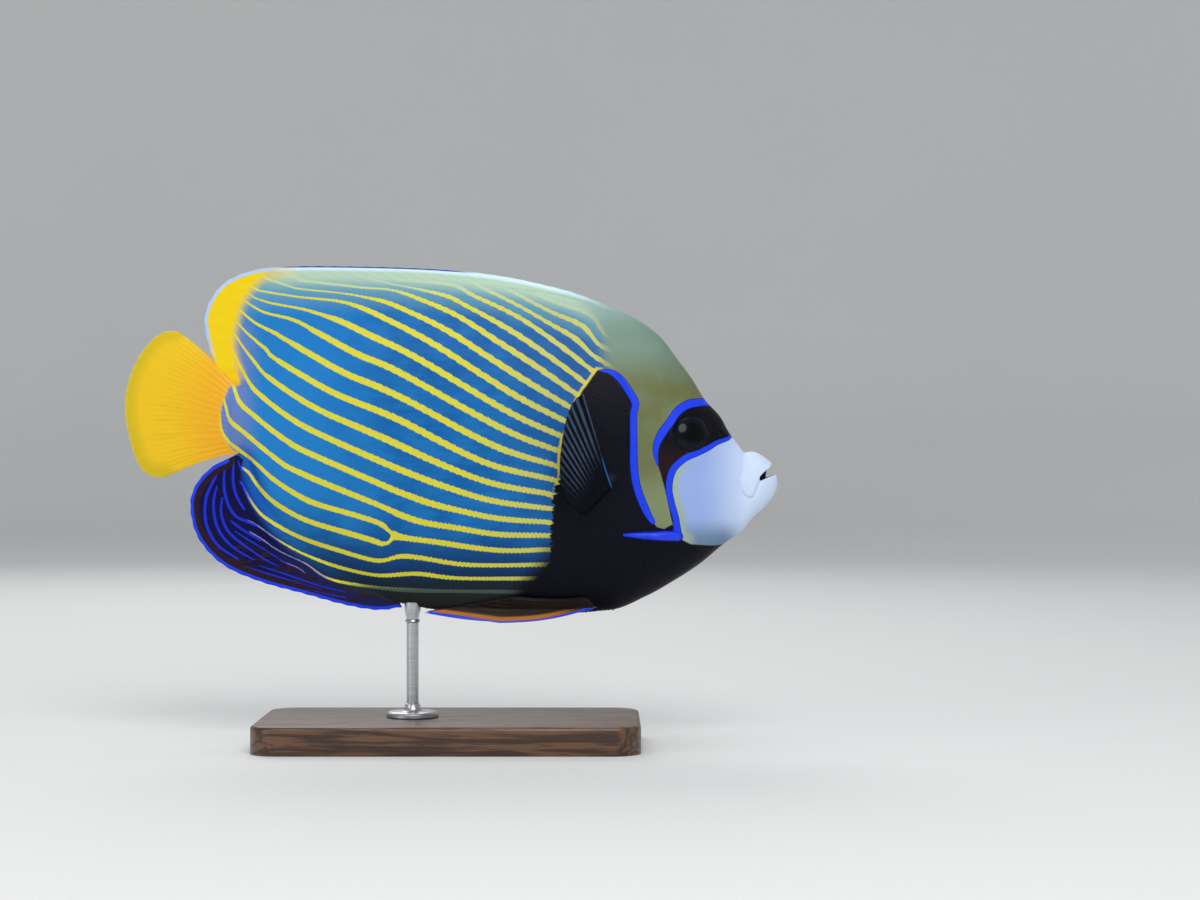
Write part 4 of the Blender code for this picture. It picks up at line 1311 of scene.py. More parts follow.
    def material(self, name: str, with_mouth: bool = False) -> Material:
        """A material of skin, scales and middle fins.

        Args:
            name: The material's name.
            with_mouth: Whether the piece keeps an attribute for the painted shade inside the mouth.

        Returns:
            The material.
        """
        p = Painter(name)
        colour = self.colour(p)
        if with_mouth:
            # Painted shade: the mouth's inside is near black
            colour = p.over(colour, self.mouth, p.parts("mouth")[0])
        grain = p.node("TexVoronoi", {"Vector": p.place, "Scale": 900.0}).outputs["Distance"]
        rough = p.math("MULTIPLY_ADD", p.noise(0.006, 3.0), 0.12, 0.40)
        return p.finish(colour, rough, Normal=p.bump(grain, 0.00005), Specular_IOR_Level=0.12)


@dataclass(frozen=True)
class EyeFinish:
    """A wet eye: black pupil, very dark blue iris and a black rim."""

    pupil: Colour = Colour(3, 4, 6)
    iris: Colour = Colour(4, 8, 18)
    iris_light: Colour = Colour(8, 20, 34)
    pupil_share: float = 0.50
    rim_share: float = 0.86

    def material(self) -> Material:
        """The eye's material, which reads how far a point is from the eye's middle."""
        p = Painter("angelfish_eye")
        ring = p.parts("eye")[0]
        streak = p.node("TexNoise", {"Vector": p.place, "Scale": 900.0, "Detail": 3.0}).outputs[0]
        iris = p.over(self.iris, self.iris_light, p.rise(streak, 0.4, 0.7))
        iris = p.over(iris, self.pupil, p.rise(ring, self.rim_share - 0.08, self.rim_share + 0.06))
        colour = p.over(iris, self.pupil, p.rise(ring, self.pupil_share + 0.02, self.pupil_share - 0.02))
        return p.finish(colour, 0.3, Coat_Weight=0.2, Coat_Roughness=0.02, Specular_IOR_Level=0.04)


@dataclass(frozen=True)
class PectoralFinish:
    """A dark, slightly clear membrane with grey-blue rays."""

    membrane: Colour = Colour(5, 7, 20)
    ray: Colour = Colour(74, 92, 120)
    streak: Colour = Colour(40, 110, 200)
    rays: int = 14
    least_solid: float = 0.90

    def material(self) -> Material:
        """The fin's material, which reads shares over the rays and along them."""
        p = Painter("angelfish_pectoral_fin")
        share, reach, edge = p.parts("fin")
        phase = p.times(share, 2 * math.pi * (self.rays - 1))
        on_ray = p.rise(p.math("COSINE", phase), -0.5, 1.0)
        fade = p.times(p.rise(share, 1.0, 0.45), p.rise(reach, 0.2, 0.62))
        uneven = p.math("MULTIPLY_ADD", p.noise(0.004), 0.8, 0.25)
        rays = p.times(on_ray, fade, uneven)
        colour = p.over(self.membrane, self.ray, rays)
        lead = p.times(p.rise(edge, 0.8, 0.4), p.rise(reach, 0.38, 0.24))
        colour = p.over(colour, self.streak, lead)
        solid = p.math("MAXIMUM", p.math("MAXIMUM", rays, lead), p.rise(reach, 0.2, 0.05))
        alpha = p.math("MULTIPLY_ADD", solid, 1 - self.least_solid, self.least_solid)
        return p.finish(colour, 0.5, Alpha=alpha, Specular_IOR_Level=0.08)


@dataclass(frozen=True)
class PelvicFinish:
    """Dark brown rays with a blue leading edge and an orange-brown band beside it."""

    edge: Colour = Colour(40, 70, 220)
    edge_violet: Colour = Colour(96, 92, 190)
    band: Colour = Colour(184, 112, 34)
    brown: Colour = Colour(28, 23, 20)
    streak: Colour = Colour(54, 44, 38)

    def material(self) -> Material:
        """The fin's material, which reads its shares and the distance from its edge."""
        p = Painter("angelfish_pelvic_fin")
        share, reach, edge = p.parts("fin")
        fine = p.ray_noise(share, reach, 26.0, 2.0)
        colour = p.over(self.brown, self.streak, p.times(p.rise(fine, 0.48, 0.66), p.rise(reach, 0.15, 0.5)))
        colour = p.over(colour, self.band, p.times(p.rise(edge, 3.6, 2.2), p.rise(reach, 0.04, 0.30)))
        violet = p.times(p.rise(reach, 0.25, 0.5), p.rise(reach, 0.9, 0.65))
        rim = p.over(self.edge, self.edge_violet, violet)
        colour = p.over(colour, rim, p.rise(edge, 1.25, 0.95))
        return p.finish(colour, 0.42, Normal=p.bump(fine, 0.00006), Specular_IOR_Level=0.15)


@dataclass(frozen=True)
class SpineFinish:
    """The cheek spine's smooth bright blue."""

    blue: Colour = Colour(30, 66, 236)
    dark: Colour = Colour(24, 52, 206)

    def material(self) -> Material:
        """The spine's material."""
        p = Painter("angelfish_cheek_spine")
        colour = p.over(self.blue, self.dark, p.rise(p.noise(0.003, 2.0, (0.3, 1, 1)), 0.5, 0.75))
        return p.finish(colour, 0.3, Normal=p.bump(p.noise(0.0008, 2.0, (0.2, 1, 1)), 0.00006),
                        Specular_IOR_Level=0.3)


@dataclass(frozen=True)
class WoodFinish:
    """Dark oiled wood with its grain along the board."""

    light: Colour = Colour(104, 70, 46)
    dark: Colour = Colour(58, 36, 23)
    pore: Colour = Colour(34, 21, 14)

    def material(self) -> Material:
        """The board's material, with rings, bands and pores."""
        p = Painter("stand_wood")
        rings = p.node("Mapping", {"Vector": p.place, "Scale": (0.5, 9.0, 9.0)}).outputs[0]
        figure = {"Vector": rings, "Scale": 9.0, "Detail": 4.0, "Distortion": 0.5}
        wave = p.node("TexNoise", figure).outputs[0]
        bands = p.math("PINGPONG", p.times(wave, 7.0), 0.5)
        colour = p.over(self.light, self.dark, p.rise(bands, 0.08, 0.42))
        pores = p.rise(p.noise(0.0009, 2.0, (0.06, 1.0, 1.0)), 0.60, 0.70)
        colour = p.over(colour, self.pore, p.times(pores, 0.7))
        rough = p.math("MULTIPLY_ADD", pores, 0.2, 0.36)
        return p.finish(colour, rough, Normal=p.bump(pores, -0.00008), Coat_Weight=0.15, Coat_Roughness=0.3)


@dataclass(frozen=True)
class SteelFinish:
    """Turned stainless steel with fine rings round it."""

    light: Colour = Colour(196, 197, 200)
    dark: Colour = Colour(180, 182, 186)

    def material(self) -> Material:
        """The rod's material, with fine turning marks."""
        p = Painter("stand_steel")
        fine = p.noise(0.0012, 3.0, (0.1, 0.1, 3.0))
        colour = p.over(self.light, self.dark, p.rise(fine, 0.35, 0.7))
        rough = p.math("MULTIPLY_ADD", fine, 0.16, 0.24)
        return p.finish(colour, rough, Normal=p.bump(fine, 0.000006), Metallic=1.0)


@dataclass(frozen=True)
class TailFinish:
    """The tail fin: skin markings at its root, then orange yellow with fine rays, painted fold shade and a
    greener edge.
    """

    orange: Colour = Colour(238, 172, 26)
    yellow: Colour = Colour(234, 192, 20)
    green_edge: Colour = Colour(204, 178, 10)
    pale_rim: Colour = Colour(206, 200, 120)
    # Painted shade in the folds between the lower rays
    streak: Colour = Colour(206, 138, 16)

    def material(self, skin: SkinFinish) -> Material:
        """The fin's material, which reads the markings and the fin's own shares.

        Args:
            skin: The skin's colours, for the fin's root.

        Returns:
            The material.
        """
        p = Painter("angelfish_tail_fin")
        under = skin.colour(p)
        gold = p.parts("zone_d")[0]
        share, reach, edge = p.parts("fin")
        fine = p.ray_noise(share, reach, 90.0, 2.2)
        colour = p.over(self.orange, self.yellow, p.rise(reach, 0.15, 0.75))
        # Painted shade: the folds between the lower rays are streaked darker
        dark = p.times(p.rise(fine, 0.5, 0.68), p.rise(share, 0.15, 0.7), p.rise(reach, 0.95, 0.6))
        colour = p.over(colour, self.streak, p.times(dark, 0.25))
        colour = p.over(colour, self.green_edge, p.times(p.rise(edge, 9.0, 2.5), 0.8))
        colour = p.over(colour, self.pale_rim, p.times(p.rise(edge, 1.0, 0.4), 0.6))
        colour = p.over(under, colour, p.rise(gold, -0.2, 1.0))
        return p.finish(colour, 0.42, Normal=p.bump(fine, 0.00007), Specular_IOR_Level=0.25)


# Parts of the fish


@dataclass
class Skin:
    """One closed skin over head, trunk and tail stalk."""

    form: FishForm
    marks: Markings
    material: Material
    trunk_columns: int = 128
    head_columns: int = 92
    rows: int = 184
    tail_end: float = -113.0
    snout_end: float = 150.5
    crowding: float = 1.12
    # How much the skin closes down at the tail's base and under the lips, and its least half thickness
    tail_tuck: float = 3.4
    lip_tuck: float = 1.6
    lip_shrink: float = 0.08
    least_half: float = 0.1
    # Points round a half ring while it is worked out, and rounds that settle its places
    dense: int = 520
    rounds: int = 14

    def rings(self) -> Field:
        """Works out half rings of the right side, with their points evenly spaced by the tape.

        Returns:
            Points as an array of column, row and place.
        """
        form, dense = self.form, self.dense
        trunk = -((1 - np.arange(self.trunk_columns) / self.trunk_columns) ** self.crowding)
        head = (np.arange(self.head_columns + 1) / self.head_columns) ** self.crowding
        way = np.concatenate([trunk, head])[:, None]
        share = (0.5 - 0.5 * np.cos(np.pi * np.arange(dense) / (dense - 1)))[None, :]
        z = np.zeros((len(way), dense))

        def place(z: Field) -> Field:
            """Where each column runs at a height: along the gill cover's edge, straight at both ends."""
            gill = form.gill(z)
            end = np.where(way < 0, self.tail_end * MM, self.snout_end * MM)
            return gill + (end - gill) * np.abs(way)

        for _ in range(self.rounds):
            x = place(z)
            z = form.back(x) + (form.belly(x) - form.back(x)) * share
        x = place(z)
        half = form.flesh(x, z)
        # Past the tail's base the skin closes down on to the fin
        half = half - step_up(form.tail_base * MM, self.tail_end * MM, x) * self.tail_tuck * MM
        under_lips = step_up(form.snout * MM, self.snout_end * MM, x)
        half = np.maximum(half - under_lips * self.lip_tuck * MM, self.least_half * MM)
        z = z - (z - (form.back(x) + form.belly(x)) / 2) * self.lip_shrink * under_lips
        dense_ring = np.stack([x, -half, z], -1)
        middle = dense_ring * np.array([1.0, 0.0, 1.0])
        dense_ring = np.concatenate([middle[:, :1], dense_ring, middle[:, -1:]], 1)
        rings = np.empty((len(way), self.rows + 1, 3))
        for k, ring in enumerate(dense_ring):
            rings[k] = along(ring, np.linspace(0, 1, self.rows + 1))
        return rings

    def build(self) -> None:
        """Makes the skin, keeps its markings on it and mounts it."""
        rings = self.rings()
        columns = len(rings) - 1

        def form(across: Field, up: Field) -> Field:
            """The ring's point for each point of the grid."""
            return rings[np.rint(across * columns).astype(int), np.rint(up * self.rows).astype(int)]

        piece = formed_sheet("skin", columns, self.rows, form)
        add_left_half(piece)
        self.marks.keep_on(piece)
        raise_up(piece)
        shade_smooth(piece, 60.0)
        mount(piece, self.material, "striped_skin", "trunk", "head", "tail_stalk")


@dataclass
class Snout:
    """The lips and jaws round the open mouth, one soft form that runs into the skin behind it."""

    form: FishForm
    marks: Markings
    material: Material
    rear: float = 144.5
    columns: int = 72
    rows: int = 110
    voxel: float = 0.34
    softening: int = 7
    # The open mouth in the side view, its corner first, and the part of it that is cut right through
    mouth: Points = (
        (154.2, -17.4), (154.4, -15.9), (155.6, -14.4), (157.4, -12.9), (159.6, -11.3), (160.6, -9.6),
        (162, -6), (170, -2), (170, -14.2), (163.8, -14.5), (162.2, -14.9), (160.4, -15.5), (158.3, -16.3),
        (156, -17.3), (154.9, -17.9),
    )
    through_from: float = 157.4
    core_half: float = 3.0
    cut_half: float = 12.0
    # Where the lips come out over the skin, how far they stand over it, and how far over back and belly
    over_skin_from: float = 149.5
    over_skin: float = 0.25
    over_outline: float = 0.2
    # Where the mouth's inside is painted dark as shade, darker deeper in: in from its outline, and how deep
    # under the skin
    dark_inside: Band = (-0.75, -0.1)
    dark_depth: Band = (1.3, 2.3)

    def shape(self, across: Field, up: Field) -> Field:
        """Sets the points of the right side, before the mouth is cut.

        Args:
            across: Shares from the rear end to the lips' tip.
            up: Shares from the back down to the belly.

        Returns:
            A point for each, one a row.
        """
        form = self.form
        x = (self.rear + (form.lip_tip - self.rear) * np.sin(np.pi / 2 * across) ** 0.9) * MM
        share = 0.5 - 0.5 * np.cos(np.pi * up)
        back, belly = form.back(x), form.belly(x)
        z = back + (belly - back) * share
        # Under the skin at its rear end and over it in front
        over = (2 * step_up(self.rear * MM, self.over_skin_from * MM, x) - 1) * MM
        half = np.maximum(form.flesh(x, z) + self.over_skin * over, 0.0)
        z = z + self.over_outline * over * (1 - 2 * share)
        closed = at_end(up) | (across > 1 - NEARLY)
        return np.stack([x, -np.where(closed, 0.0, half), z], 1)

    def cut(self, piece: Piece, near: float, far: float, front_only: bool) -> None:
        """Cuts the mouth's outline out of the piece between two distances from the middle plane.

        Args:
            piece: The piece to cut.
            near: Where the cut starts, along Y in millimetres.
            far: Where it ends.
            front_only: Whether only the part in front of through_from is cut.
        """
        outline = smooth_path([*self.mouth, self.mouth[0]], 3)[:-1]
        if front_only:
            outline = outline[outline[:, 0] > self.through_from]
        deselect_all()
        bpy.ops.mesh.primitive_circle_add(vertices=len(outline), radius=1.0, fill_type="NGON")
        cutter = new_piece("mouth_cutter")
        set_places(cutter, np.stack([outline[:, 0], np.full(len(outline), near), outline[:, 1]], 1) * MM)
        bpy.ops.object.mode_set(mode="EDIT")
        bpy.ops.mesh.select_all(action="SELECT")
        bpy.ops.mesh.extrude_region_move(TRANSFORM_OT_translate={"value": (0, (far - near) * MM, 0)})
        bpy.ops.mesh.select_all(action="SELECT")
        bpy.ops.mesh.remove_doubles(threshold=FINE_WELD)
        bpy.ops.mesh.normals_make_consistent(inside=False)
        bpy.ops.object.mode_set(mode="OBJECT")
        finish_with(piece, "BOOLEAN", operation="DIFFERENCE", solver="EXACT", object=cutter)
        bpy.data.objects.remove(cutter)

    def build(self) -> None:
        """Makes the snout, opens and softens its mouth, and mounts it."""
        piece = formed_sheet("lips", self.columns, self.rows, self.shape)
        add_left_half(piece, FINE_WELD)
        self.cut(piece, -self.cut_half, self.cut_half, True)
        self.cut(piece, -self.cut_half, -self.core_half, False)
        self.cut(piece, self.core_half, self.cut_half, False)
        finish_with(piece, "REMESH", mode="VOXEL", voxel_size=self.voxel * MM)
        finish_with(piece, "SMOOTH", factor=0.5, iterations=self.softening)
        self.marks.keep_on(piece)
        x, y, z = places_of(piece).T
        in_mouth = within(x / MM, z / MM, np.array(self.mouth))
        sunk = (self.form.flesh(x, z) - np.abs(y)) / MM
        # Painted shade: the mouth's inside darkens the deeper it lies under the skin
        store(piece, "mouth", step_up(*self.dark_inside, in_mouth) * step_up(*self.dark_depth, sunk))
        raise_up(piece)
        shade_smooth(piece, 80.0)
        mount(piece, self.material, "pale_lip", "upper_jaw", "lower_jaw")


@dataclass
class CheekSpines:
    """The long blue spine at the lower corner of each cheek plate, lying back over the gill cover."""

    form: FishForm
    material: Material
    line: Points = (
        (116.5, -45.2, 1.5), (113.5, -45.1, 2.1), (109, -44.9, 2.3), (104, -44.8, 2.1), (98, -44.7, 1.7),
        (92, -44.5, 1.2), (87.4, -44.3, 0.35),
    )
    clearance: float = 0.8
    leaves_cheek: Band = (116.0, 102.0)
    # How far it is lifted for its thickness and sunk at its root, in radii, and over what share of it
    lift_share: float = 0.25
    root_sink: float = 2.0
    root_run: Band = (0.12, 0.0)
    columns: int = 48
    around: int = 20

    def shape(self, across: Field, up: Field) -> Field:
        """Sets the points round the right spine.

        Args:
            across: Shares from its root to its tip.
            up: Shares round it.

        Returns:
            A point for each, one a row.
        """
        form = self.form
        middle = along(smooth_path(self.line), across)
        x, z, radius = middle.T
        on_head = form.flesh(np.maximum(x * MM, form.gill(z * MM) + MM), z * MM) / MM
        lift = self.clearance * step_up(*self.leaves_cheek, x) + radius * self.lift_share
        lift = lift - self.root_sink * radius * step_up(*self.root_run, across)
        radius = np.where(at_end(across), 0.0, radius)
        turn = 2 * np.pi * up
        return np.stack([x, -(on_head + lift + radius * np.cos(turn)), z + radius * np.sin(turn)], 1) * MM

    def build(self) -> None:
        """Makes the right spine and its mirror image."""
        right = formed_sheet("cheek_spine_right", self.columns, self.around, self.shape)
        make_whole(right)
        raise_up(right)
        shade_smooth(right, 70.0)
        left = mirrored(right, "cheek_spine_left")
        mount(right, self.material, "head_skin")
        mount(left, self.material, "head_skin")


@dataclass
class MiddleFin:
    """The dorsal or the anal fin: a thick root sunk in the body, ridged by rays out to a thin edge."""

    form: FishForm
    marks: Markings
    material: Material
    fin: MidFin
    slot: str
    rays: int
    ridge: float
    # How deep the edge is notched between two rays, and how far the root is thinned in the body
    notch: float = 0.35
    root_thinning: float = 0.35
    # A ray shorter than this is notched no deeper
    short_ray: float = 4.0
    crowding: float = 0.9
    columns_per_ray: int = 8
    rows: int = 46

    def shape(self, across: Field, up: Field) -> Field:
        """Sets the points of the fin's right face.

        Args:
            across: Shares over the rays from front to rear.
            up: Shares from the root out to the edge.

        Returns:
            A point for each, one a row.
        """
        form, word = self.form, self.fin.word
        root_line, edge_line = form.lines[f"{word}_root"], form.lines[f"{word}_edge"]
        root = along(root_line, across) + np.array([0.0, form.fin_sink * self.fin.value])
        edge = along(edge_line, across)
        on_ray = np.cos(np.pi * across * (self.rays - 1)) ** 2
        length = np.linalg.norm(edge - root, axis=1)
        reach = up**self.crowding
        cut = self.notch * (1 - on_ray) / np.maximum(length, self.short_ray)
        point = root + (edge - root) * (reach * (1 - cut))[:, None]
        x, z = point[:, 0] * MM, point[:, 1] * MM
        inside = from_path(point[:, 0], point[:, 1], root_line)
        beyond = within(point[:, 0], point[:, 1], form.lines[word]) > 0
        thinned = np.where(beyond, 0.0, self.root_thinning * step_up(0.0, 1.0, inside))
        half = form.fin_half(self.fin, x, z) - thinned * MM
        half = half + self.ridge * MM * on_ray * step_up(0.1, 0.5, reach)
        return np.stack([x, -np.where(at_end(across) | at_end(up), 0.0, half), z], 1)

    def build(self) -> None:
        """Makes the fin, keeps its markings on it and mounts it."""
        columns = (self.rays - 1) * self.columns_per_ray
        piece = formed_sheet(f"rayed_{self.fin.word}_fin", columns, self.rows, self.shape)
        add_left_half(piece)
        self.marks.keep_on(piece)
        raise_up(piece)
        shade_smooth(piece, 60.0)
        mount(piece, self.material, self.slot, f"{self.fin.word}_fin")


@dataclass
class DorsalFin(MiddleFin):
    """The long fin of the back, which ends in a round lobe."""

    fin: MidFin = MidFin.DORSAL
    slot: str = "striped_fin"
    rays: int = 34
    ridge: float = 0.13


@dataclass
class AnalFin(MiddleFin):
    """The fin of the belly's rear half."""

    fin: MidFin = MidFin.ANAL
    slot: str = "navy_fin"
    rays: int = 24
    ridge: float = 0.16


@dataclass
class TailFin:
    """The tail fin, a fan of branching rays swung a little to the fish's left."""

    form: FishForm
    marks: Markings
    material: Material
    edge: Points = (
        (-137.5, 57.5), (-144, 56.8), (-151, 52), (-157.5, 43), (-162, 32), (-163.7, 20.5), (-162, 6),
        (-156.5, -10.5), (-149, -16.2), (-143.5, -16.3),
    )
    root_x: float = -105.5
    # How far the root lies inside the stalk's outline, and how much thinner than the stalk it is
    root_inset: float = 0.9
    root_thinning: float = 0.25
    # How far the fan is bowed up, at its top and its bottom ray, and swung to the left
    bow: tuple[float, float] = (2.4, 1.5)
    swing: float = 5.0
    rays: int = 17
    ridge: float = 0.20
    ridge_from: Band = (2.0, 8.0)
    # Where the rays branch, as shares of the way out, and how deep the edge is notched between them
    first_branch: Band = (0.35, 0.55)
    second_branch: Band = (0.65, 0.85)
    notch: float = 0.4
    edge_half: float = 0.30
    columns_per_ray: int = 14
    rows: int = 70

    def flat_shape(self, across: Field, up: Field) -> Field:
        """Sets the points of the right face before the fan is bowed and swung.

        Args:
            across: Shares over the rays from the top down.
            up: Shares from the root out to the edge.

        Returns:
            A point for each, one a row.
        """
        form = self.form
        base = form.tail_base * MM
        top = np.array([self.root_x, form.back(base) / MM - self.root_inset])
        bottom = np.array([self.root_x, form.belly(base) / MM + self.root_inset])
        root = top + (bottom - top) * across[:, None]
        edge = along(smooth_path(self.edge), across)
        phase = np.pi * across * (self.rays - 1)
        simple, twice, four = np.cos(phase) ** 2, np.cos(2 * phase) ** 2, np.cos(4 * phase) ** 2
        first, second = step_up(*self.first_branch, up), step_up(*self.second_branch, up)
        on_ray = simple * (1 - first) + twice * first * (1 - second) + four * second
        length = np.linalg.norm(edge - root, axis=1)
        point = root + (edge - root) * (up * (1 - self.notch * (1 - simple) / length))[:, None]
        away = np.linalg.norm(point - root, axis=1)
        height = np.clip(root[:, 1] * MM, form.belly(base), form.back(base))
        root_half = form.flesh(np.full_like(away, base), height) / MM - self.root_thinning
        half = self.edge_half + (root_half - self.edge_half) * (1 - up) ** 4
        half = half + self.ridge * on_ray * step_up(*self.ridge_from, away) * (1 - 0.5 * up)
        closed = at_end(across) | at_end(up)
        return np.stack([point[:, 0], -np.where(closed, 0.0, half), point[:, 1]], 1) * MM

    def build(self) -> None:
        """Makes the fan, bows and swings it, and mounts it."""
        columns = (self.rays - 1) * self.columns_per_ray
        piece = formed_sheet("rayed_tail_fin", columns, self.rows, self.flat_shape)
        places = places_of(piece)
        edge = from_path(places[:, 0] / MM, places[:, 2] / MM, smooth_path(self.edge))
        store(piece, "fin", *kept_shares(piece), edge)
        self.marks.keep_on(piece)
        add_left_half(piece)
        layer = piece.data.attributes["fin"].data
        kept = np.empty(len(layer) * 3, np.float32)
        layer.foreach_get("vector", kept)
        share, reach, _ = kept.reshape(-1, 3).T
        places = places_of(piece)
        bow = self.bow[0] * (1 - share) + self.bow[1] * share
        places[:, 1] += self.swing * MM * reach**2
        places[:, 2] += bow * MM * np.sin(np.pi * reach)
        set_places(piece, raised(places))
        shade_smooth(piece, 60.0)
        mount(piece, self.material, "yellow_fin", "caudal_fin")


@dataclass
class PairedFin:
    """A fin that stands on the body's side: a middle surface with rays as ridges on both its faces."""

    form: FishForm
    material: Material
    name: str
    slot: str
    rays: int
    root_half: float
    edge_half: float = 0.16
    ridge: float = 0.20
    notch: float = 0.4
    deepest_notch: float = 0.1
    clearance: float = 0.3
    root_sink: float = 1.5
    columns_per_ray: int = 8
    rows: int = 64
    # Share of the rays whose tips carry the leading edge's colour on
    edge_share: float = 0.0

    def middle(self, share: Field, reach: Field) -> Field:
        """Points of the fin's middle surface in millimetres, at shares over its rays and out along them."""
        raise NotImplementedError

    def from_edge(self, share: Field, reach: Field) -> Field:
        """Measures in the side view how far points lie from the leading edge and the first tips.

        Args:
            share: Shares over the rays.
            reach: Shares out along them.

        Returns:
            Distances in millimetres.
        """
        run = np.linspace(0.0, 1.0, 60)
        lead = self.middle(0 * run, run)
        tips = self.middle(self.edge_share * run, np.ones_like(run))
        edge = np.vstack([lead, tips])[:, [0, 2]]
        point = self.middle(share, reach)
        return from_path(point[:, 0], point[:, 2], edge)

    def normals(self, share: Field, reach: Field) -> Field:
        """Finds which way the middle surface faces.

        Args:
            share: Shares over the rays.
            reach: Shares out along them.

        Returns:
            Unit normals towards the fish's right.
        """
        step = 0.02
        before, after = (np.clip(share + way, 0, 1) for way in (-step, step))
        nearer, farther = (np.clip(reach + way, 0, 1) for way in (-step, step))
        over = self.middle(after, reach) - self.middle(before, reach)
        out = self.middle(share, farther) - self.middle(share, nearer)
        normal = np.cross(over, out)
        normal /= np.linalg.norm(normal, axis=1)[:, None]
        return normal * np.where(normal[:, 1:2] > 0, -1.0, 1.0)

    def shape(self, across: Field, up: Field) -> Field:
        """Sets the points of both faces.

        Args:
            across: Shares over the rays.
            up: Shares out along the outer face and back along the inner one.

        Returns:
            A point for each, one a row.
        """
        reach = 1 - np.abs(2 * up - 1)
        face = np.sign(0.5 - up)
        on_ray = np.cos(np.pi * across * (self.rays - 1)) ** 2
        span = self.middle(across, np.ones_like(across)) - self.middle(across, 0 * across)
        length = np.linalg.norm(span, axis=1)
        cut = np.minimum(self.notch * (1 - on_ray) / length, self.deepest_notch)
        half = self.edge_half + self.root_half * (1 - reach) ** 3 + self.ridge * on_ray * (1 - 0.7 * reach)
        half = np.where(at_end(across) | (reach > 1 - NEARLY), 0.0, half)
        point = self.middle(across, reach * (1 - cut))
        sunk = np.array([0.0, 1.0, 0.0]) * np.where(reach < NEARLY, self.root_sink, 0.0)[:, None]
        return (point + self.normals(across, reach) * (face * half)[:, None] + sunk) * MM

    def build(self) -> None:
        """Makes the right fin and its mirror image, each with its shares kept for the rays' colours."""
        columns = (self.rays - 1) * self.columns_per_ray
        right = formed_sheet(f"rayed_{self.name}_right", columns, self.rows, self.shape)
        share, up = kept_shares(right)
        reach = 1 - np.abs(2 * up - 1)
        store(right, "fin", share, reach, self.from_edge(share, reach))
        make_whole(right)
        raise_up(right)
        shade_smooth(right, 70.0)
        left = mirrored(right, f"rayed_{self.name}_left")
        mount(right, self.material, self.slot, f"{self.name}_right")
        mount(left, self.material, self.slot, f"{self.name}_left")


@dataclass
class PectoralFin(PairedFin):
    """The fan behind the gill cover, raised and part closed."""

    name: str = "pectoral_fin"
    slot: str = "clear_fin"
    rays: int = 14
    root_half: float = 1.0
    tips: Points = (
        (66.8, 25.2), (61.5, 20), (58, 10), (56, -2.5), (55.5, -15), (58, -26.5),
    )
    # How far the first and the last ray's tips stand off the body, and how much the surface ripples
    spread: tuple[float, float] = (22.0, 13.0)
    ripple: float = 0.5

    def middle(self, share: Field, reach: Field) -> Field:
        """Finds points of the fan's middle surface.

        Args:
            share: Shares over the rays from the top one down.
            reach: Shares out along them.

        Returns:
            A point for each in millimetres, one a row.
        """
        first, last = (np.array(end) for end in self.form.pectoral_root)
        root = first + (last - first) * share[:, None]
        tip = along(smooth_path(self.tips), share)
        point = root + (tip - root) * reach[:, None]
        spread = self.spread[0] * (1 - share) + self.spread[1] * share
        on_body = self.form.flesh(root[:, 0] * MM, root[:, 1] * MM) / MM
        ripple = self.ripple * np.sin(9.0 * share + 2.0 * reach) * reach
        off_body = self.clearance + spread * reach**0.7 + ripple
        return np.stack([point[:, 0], -on_body - off_body, point[:, 1]], 1)


@dataclass
class PelvicFin(PairedFin):
    """The fin folded back along the belly, with its spine as the lower edge."""

    name: str = "pelvic_fin"
    slot: str = "brown_fin"
    rays: int = 11
    root_half: float = 0.9
    columns_per_ray: int = 6
    rows: int = 160
    root: Points = ((73.5, -80.5), (69, -75.5))
    # The tip of each ray and how far the ray sags below a straight line
    ray_tips: Points = (
        (25, -88.5, 2.2), (-12.5, -83.5, 6.2), (0, -81.2, 4.5), (12, -79, 3), (23, -76.8, 1.8),
        (33, -75, 1),
    )
    beside: float = 2.0
    above_keel: float = 2.5
    edge_share: float = 0.2

    def middle(self, share: Field, reach: Field) -> Field:
        """Finds points of the folded fin's middle surface.

        Args:
            share: Shares over the rays from the spine inwards.
            reach: Shares out along them.

        Returns:
            A point for each in millimetres, one a row.
        """
        first, last = (np.array(end) for end in self.root)
        root = first + (last - first) * share[:, None]
        place = share * (len(self.ray_tips) - 1)
        knots = np.arange(len(self.ray_tips))
        tip_x, tip_z, sag = (np.interp(place, knots, column) for column in np.array(self.ray_tips).T)
        x = root[:, 0] + (tip_x - root[:, 0]) * reach
        z = root[:, 1] + (tip_z - root[:, 1]) * reach - sag * np.sin(np.pi * reach)
        lowest = self.form.belly(x * MM) / MM + self.above_keel
        on_body = self.form.flesh(x * MM, np.maximum(z, lowest) * MM) / MM
        off_body = self.clearance + self.beside * step_up(0.0, 0.12, reach)
        return np.stack([x, -on_body - off_body, z], 1)


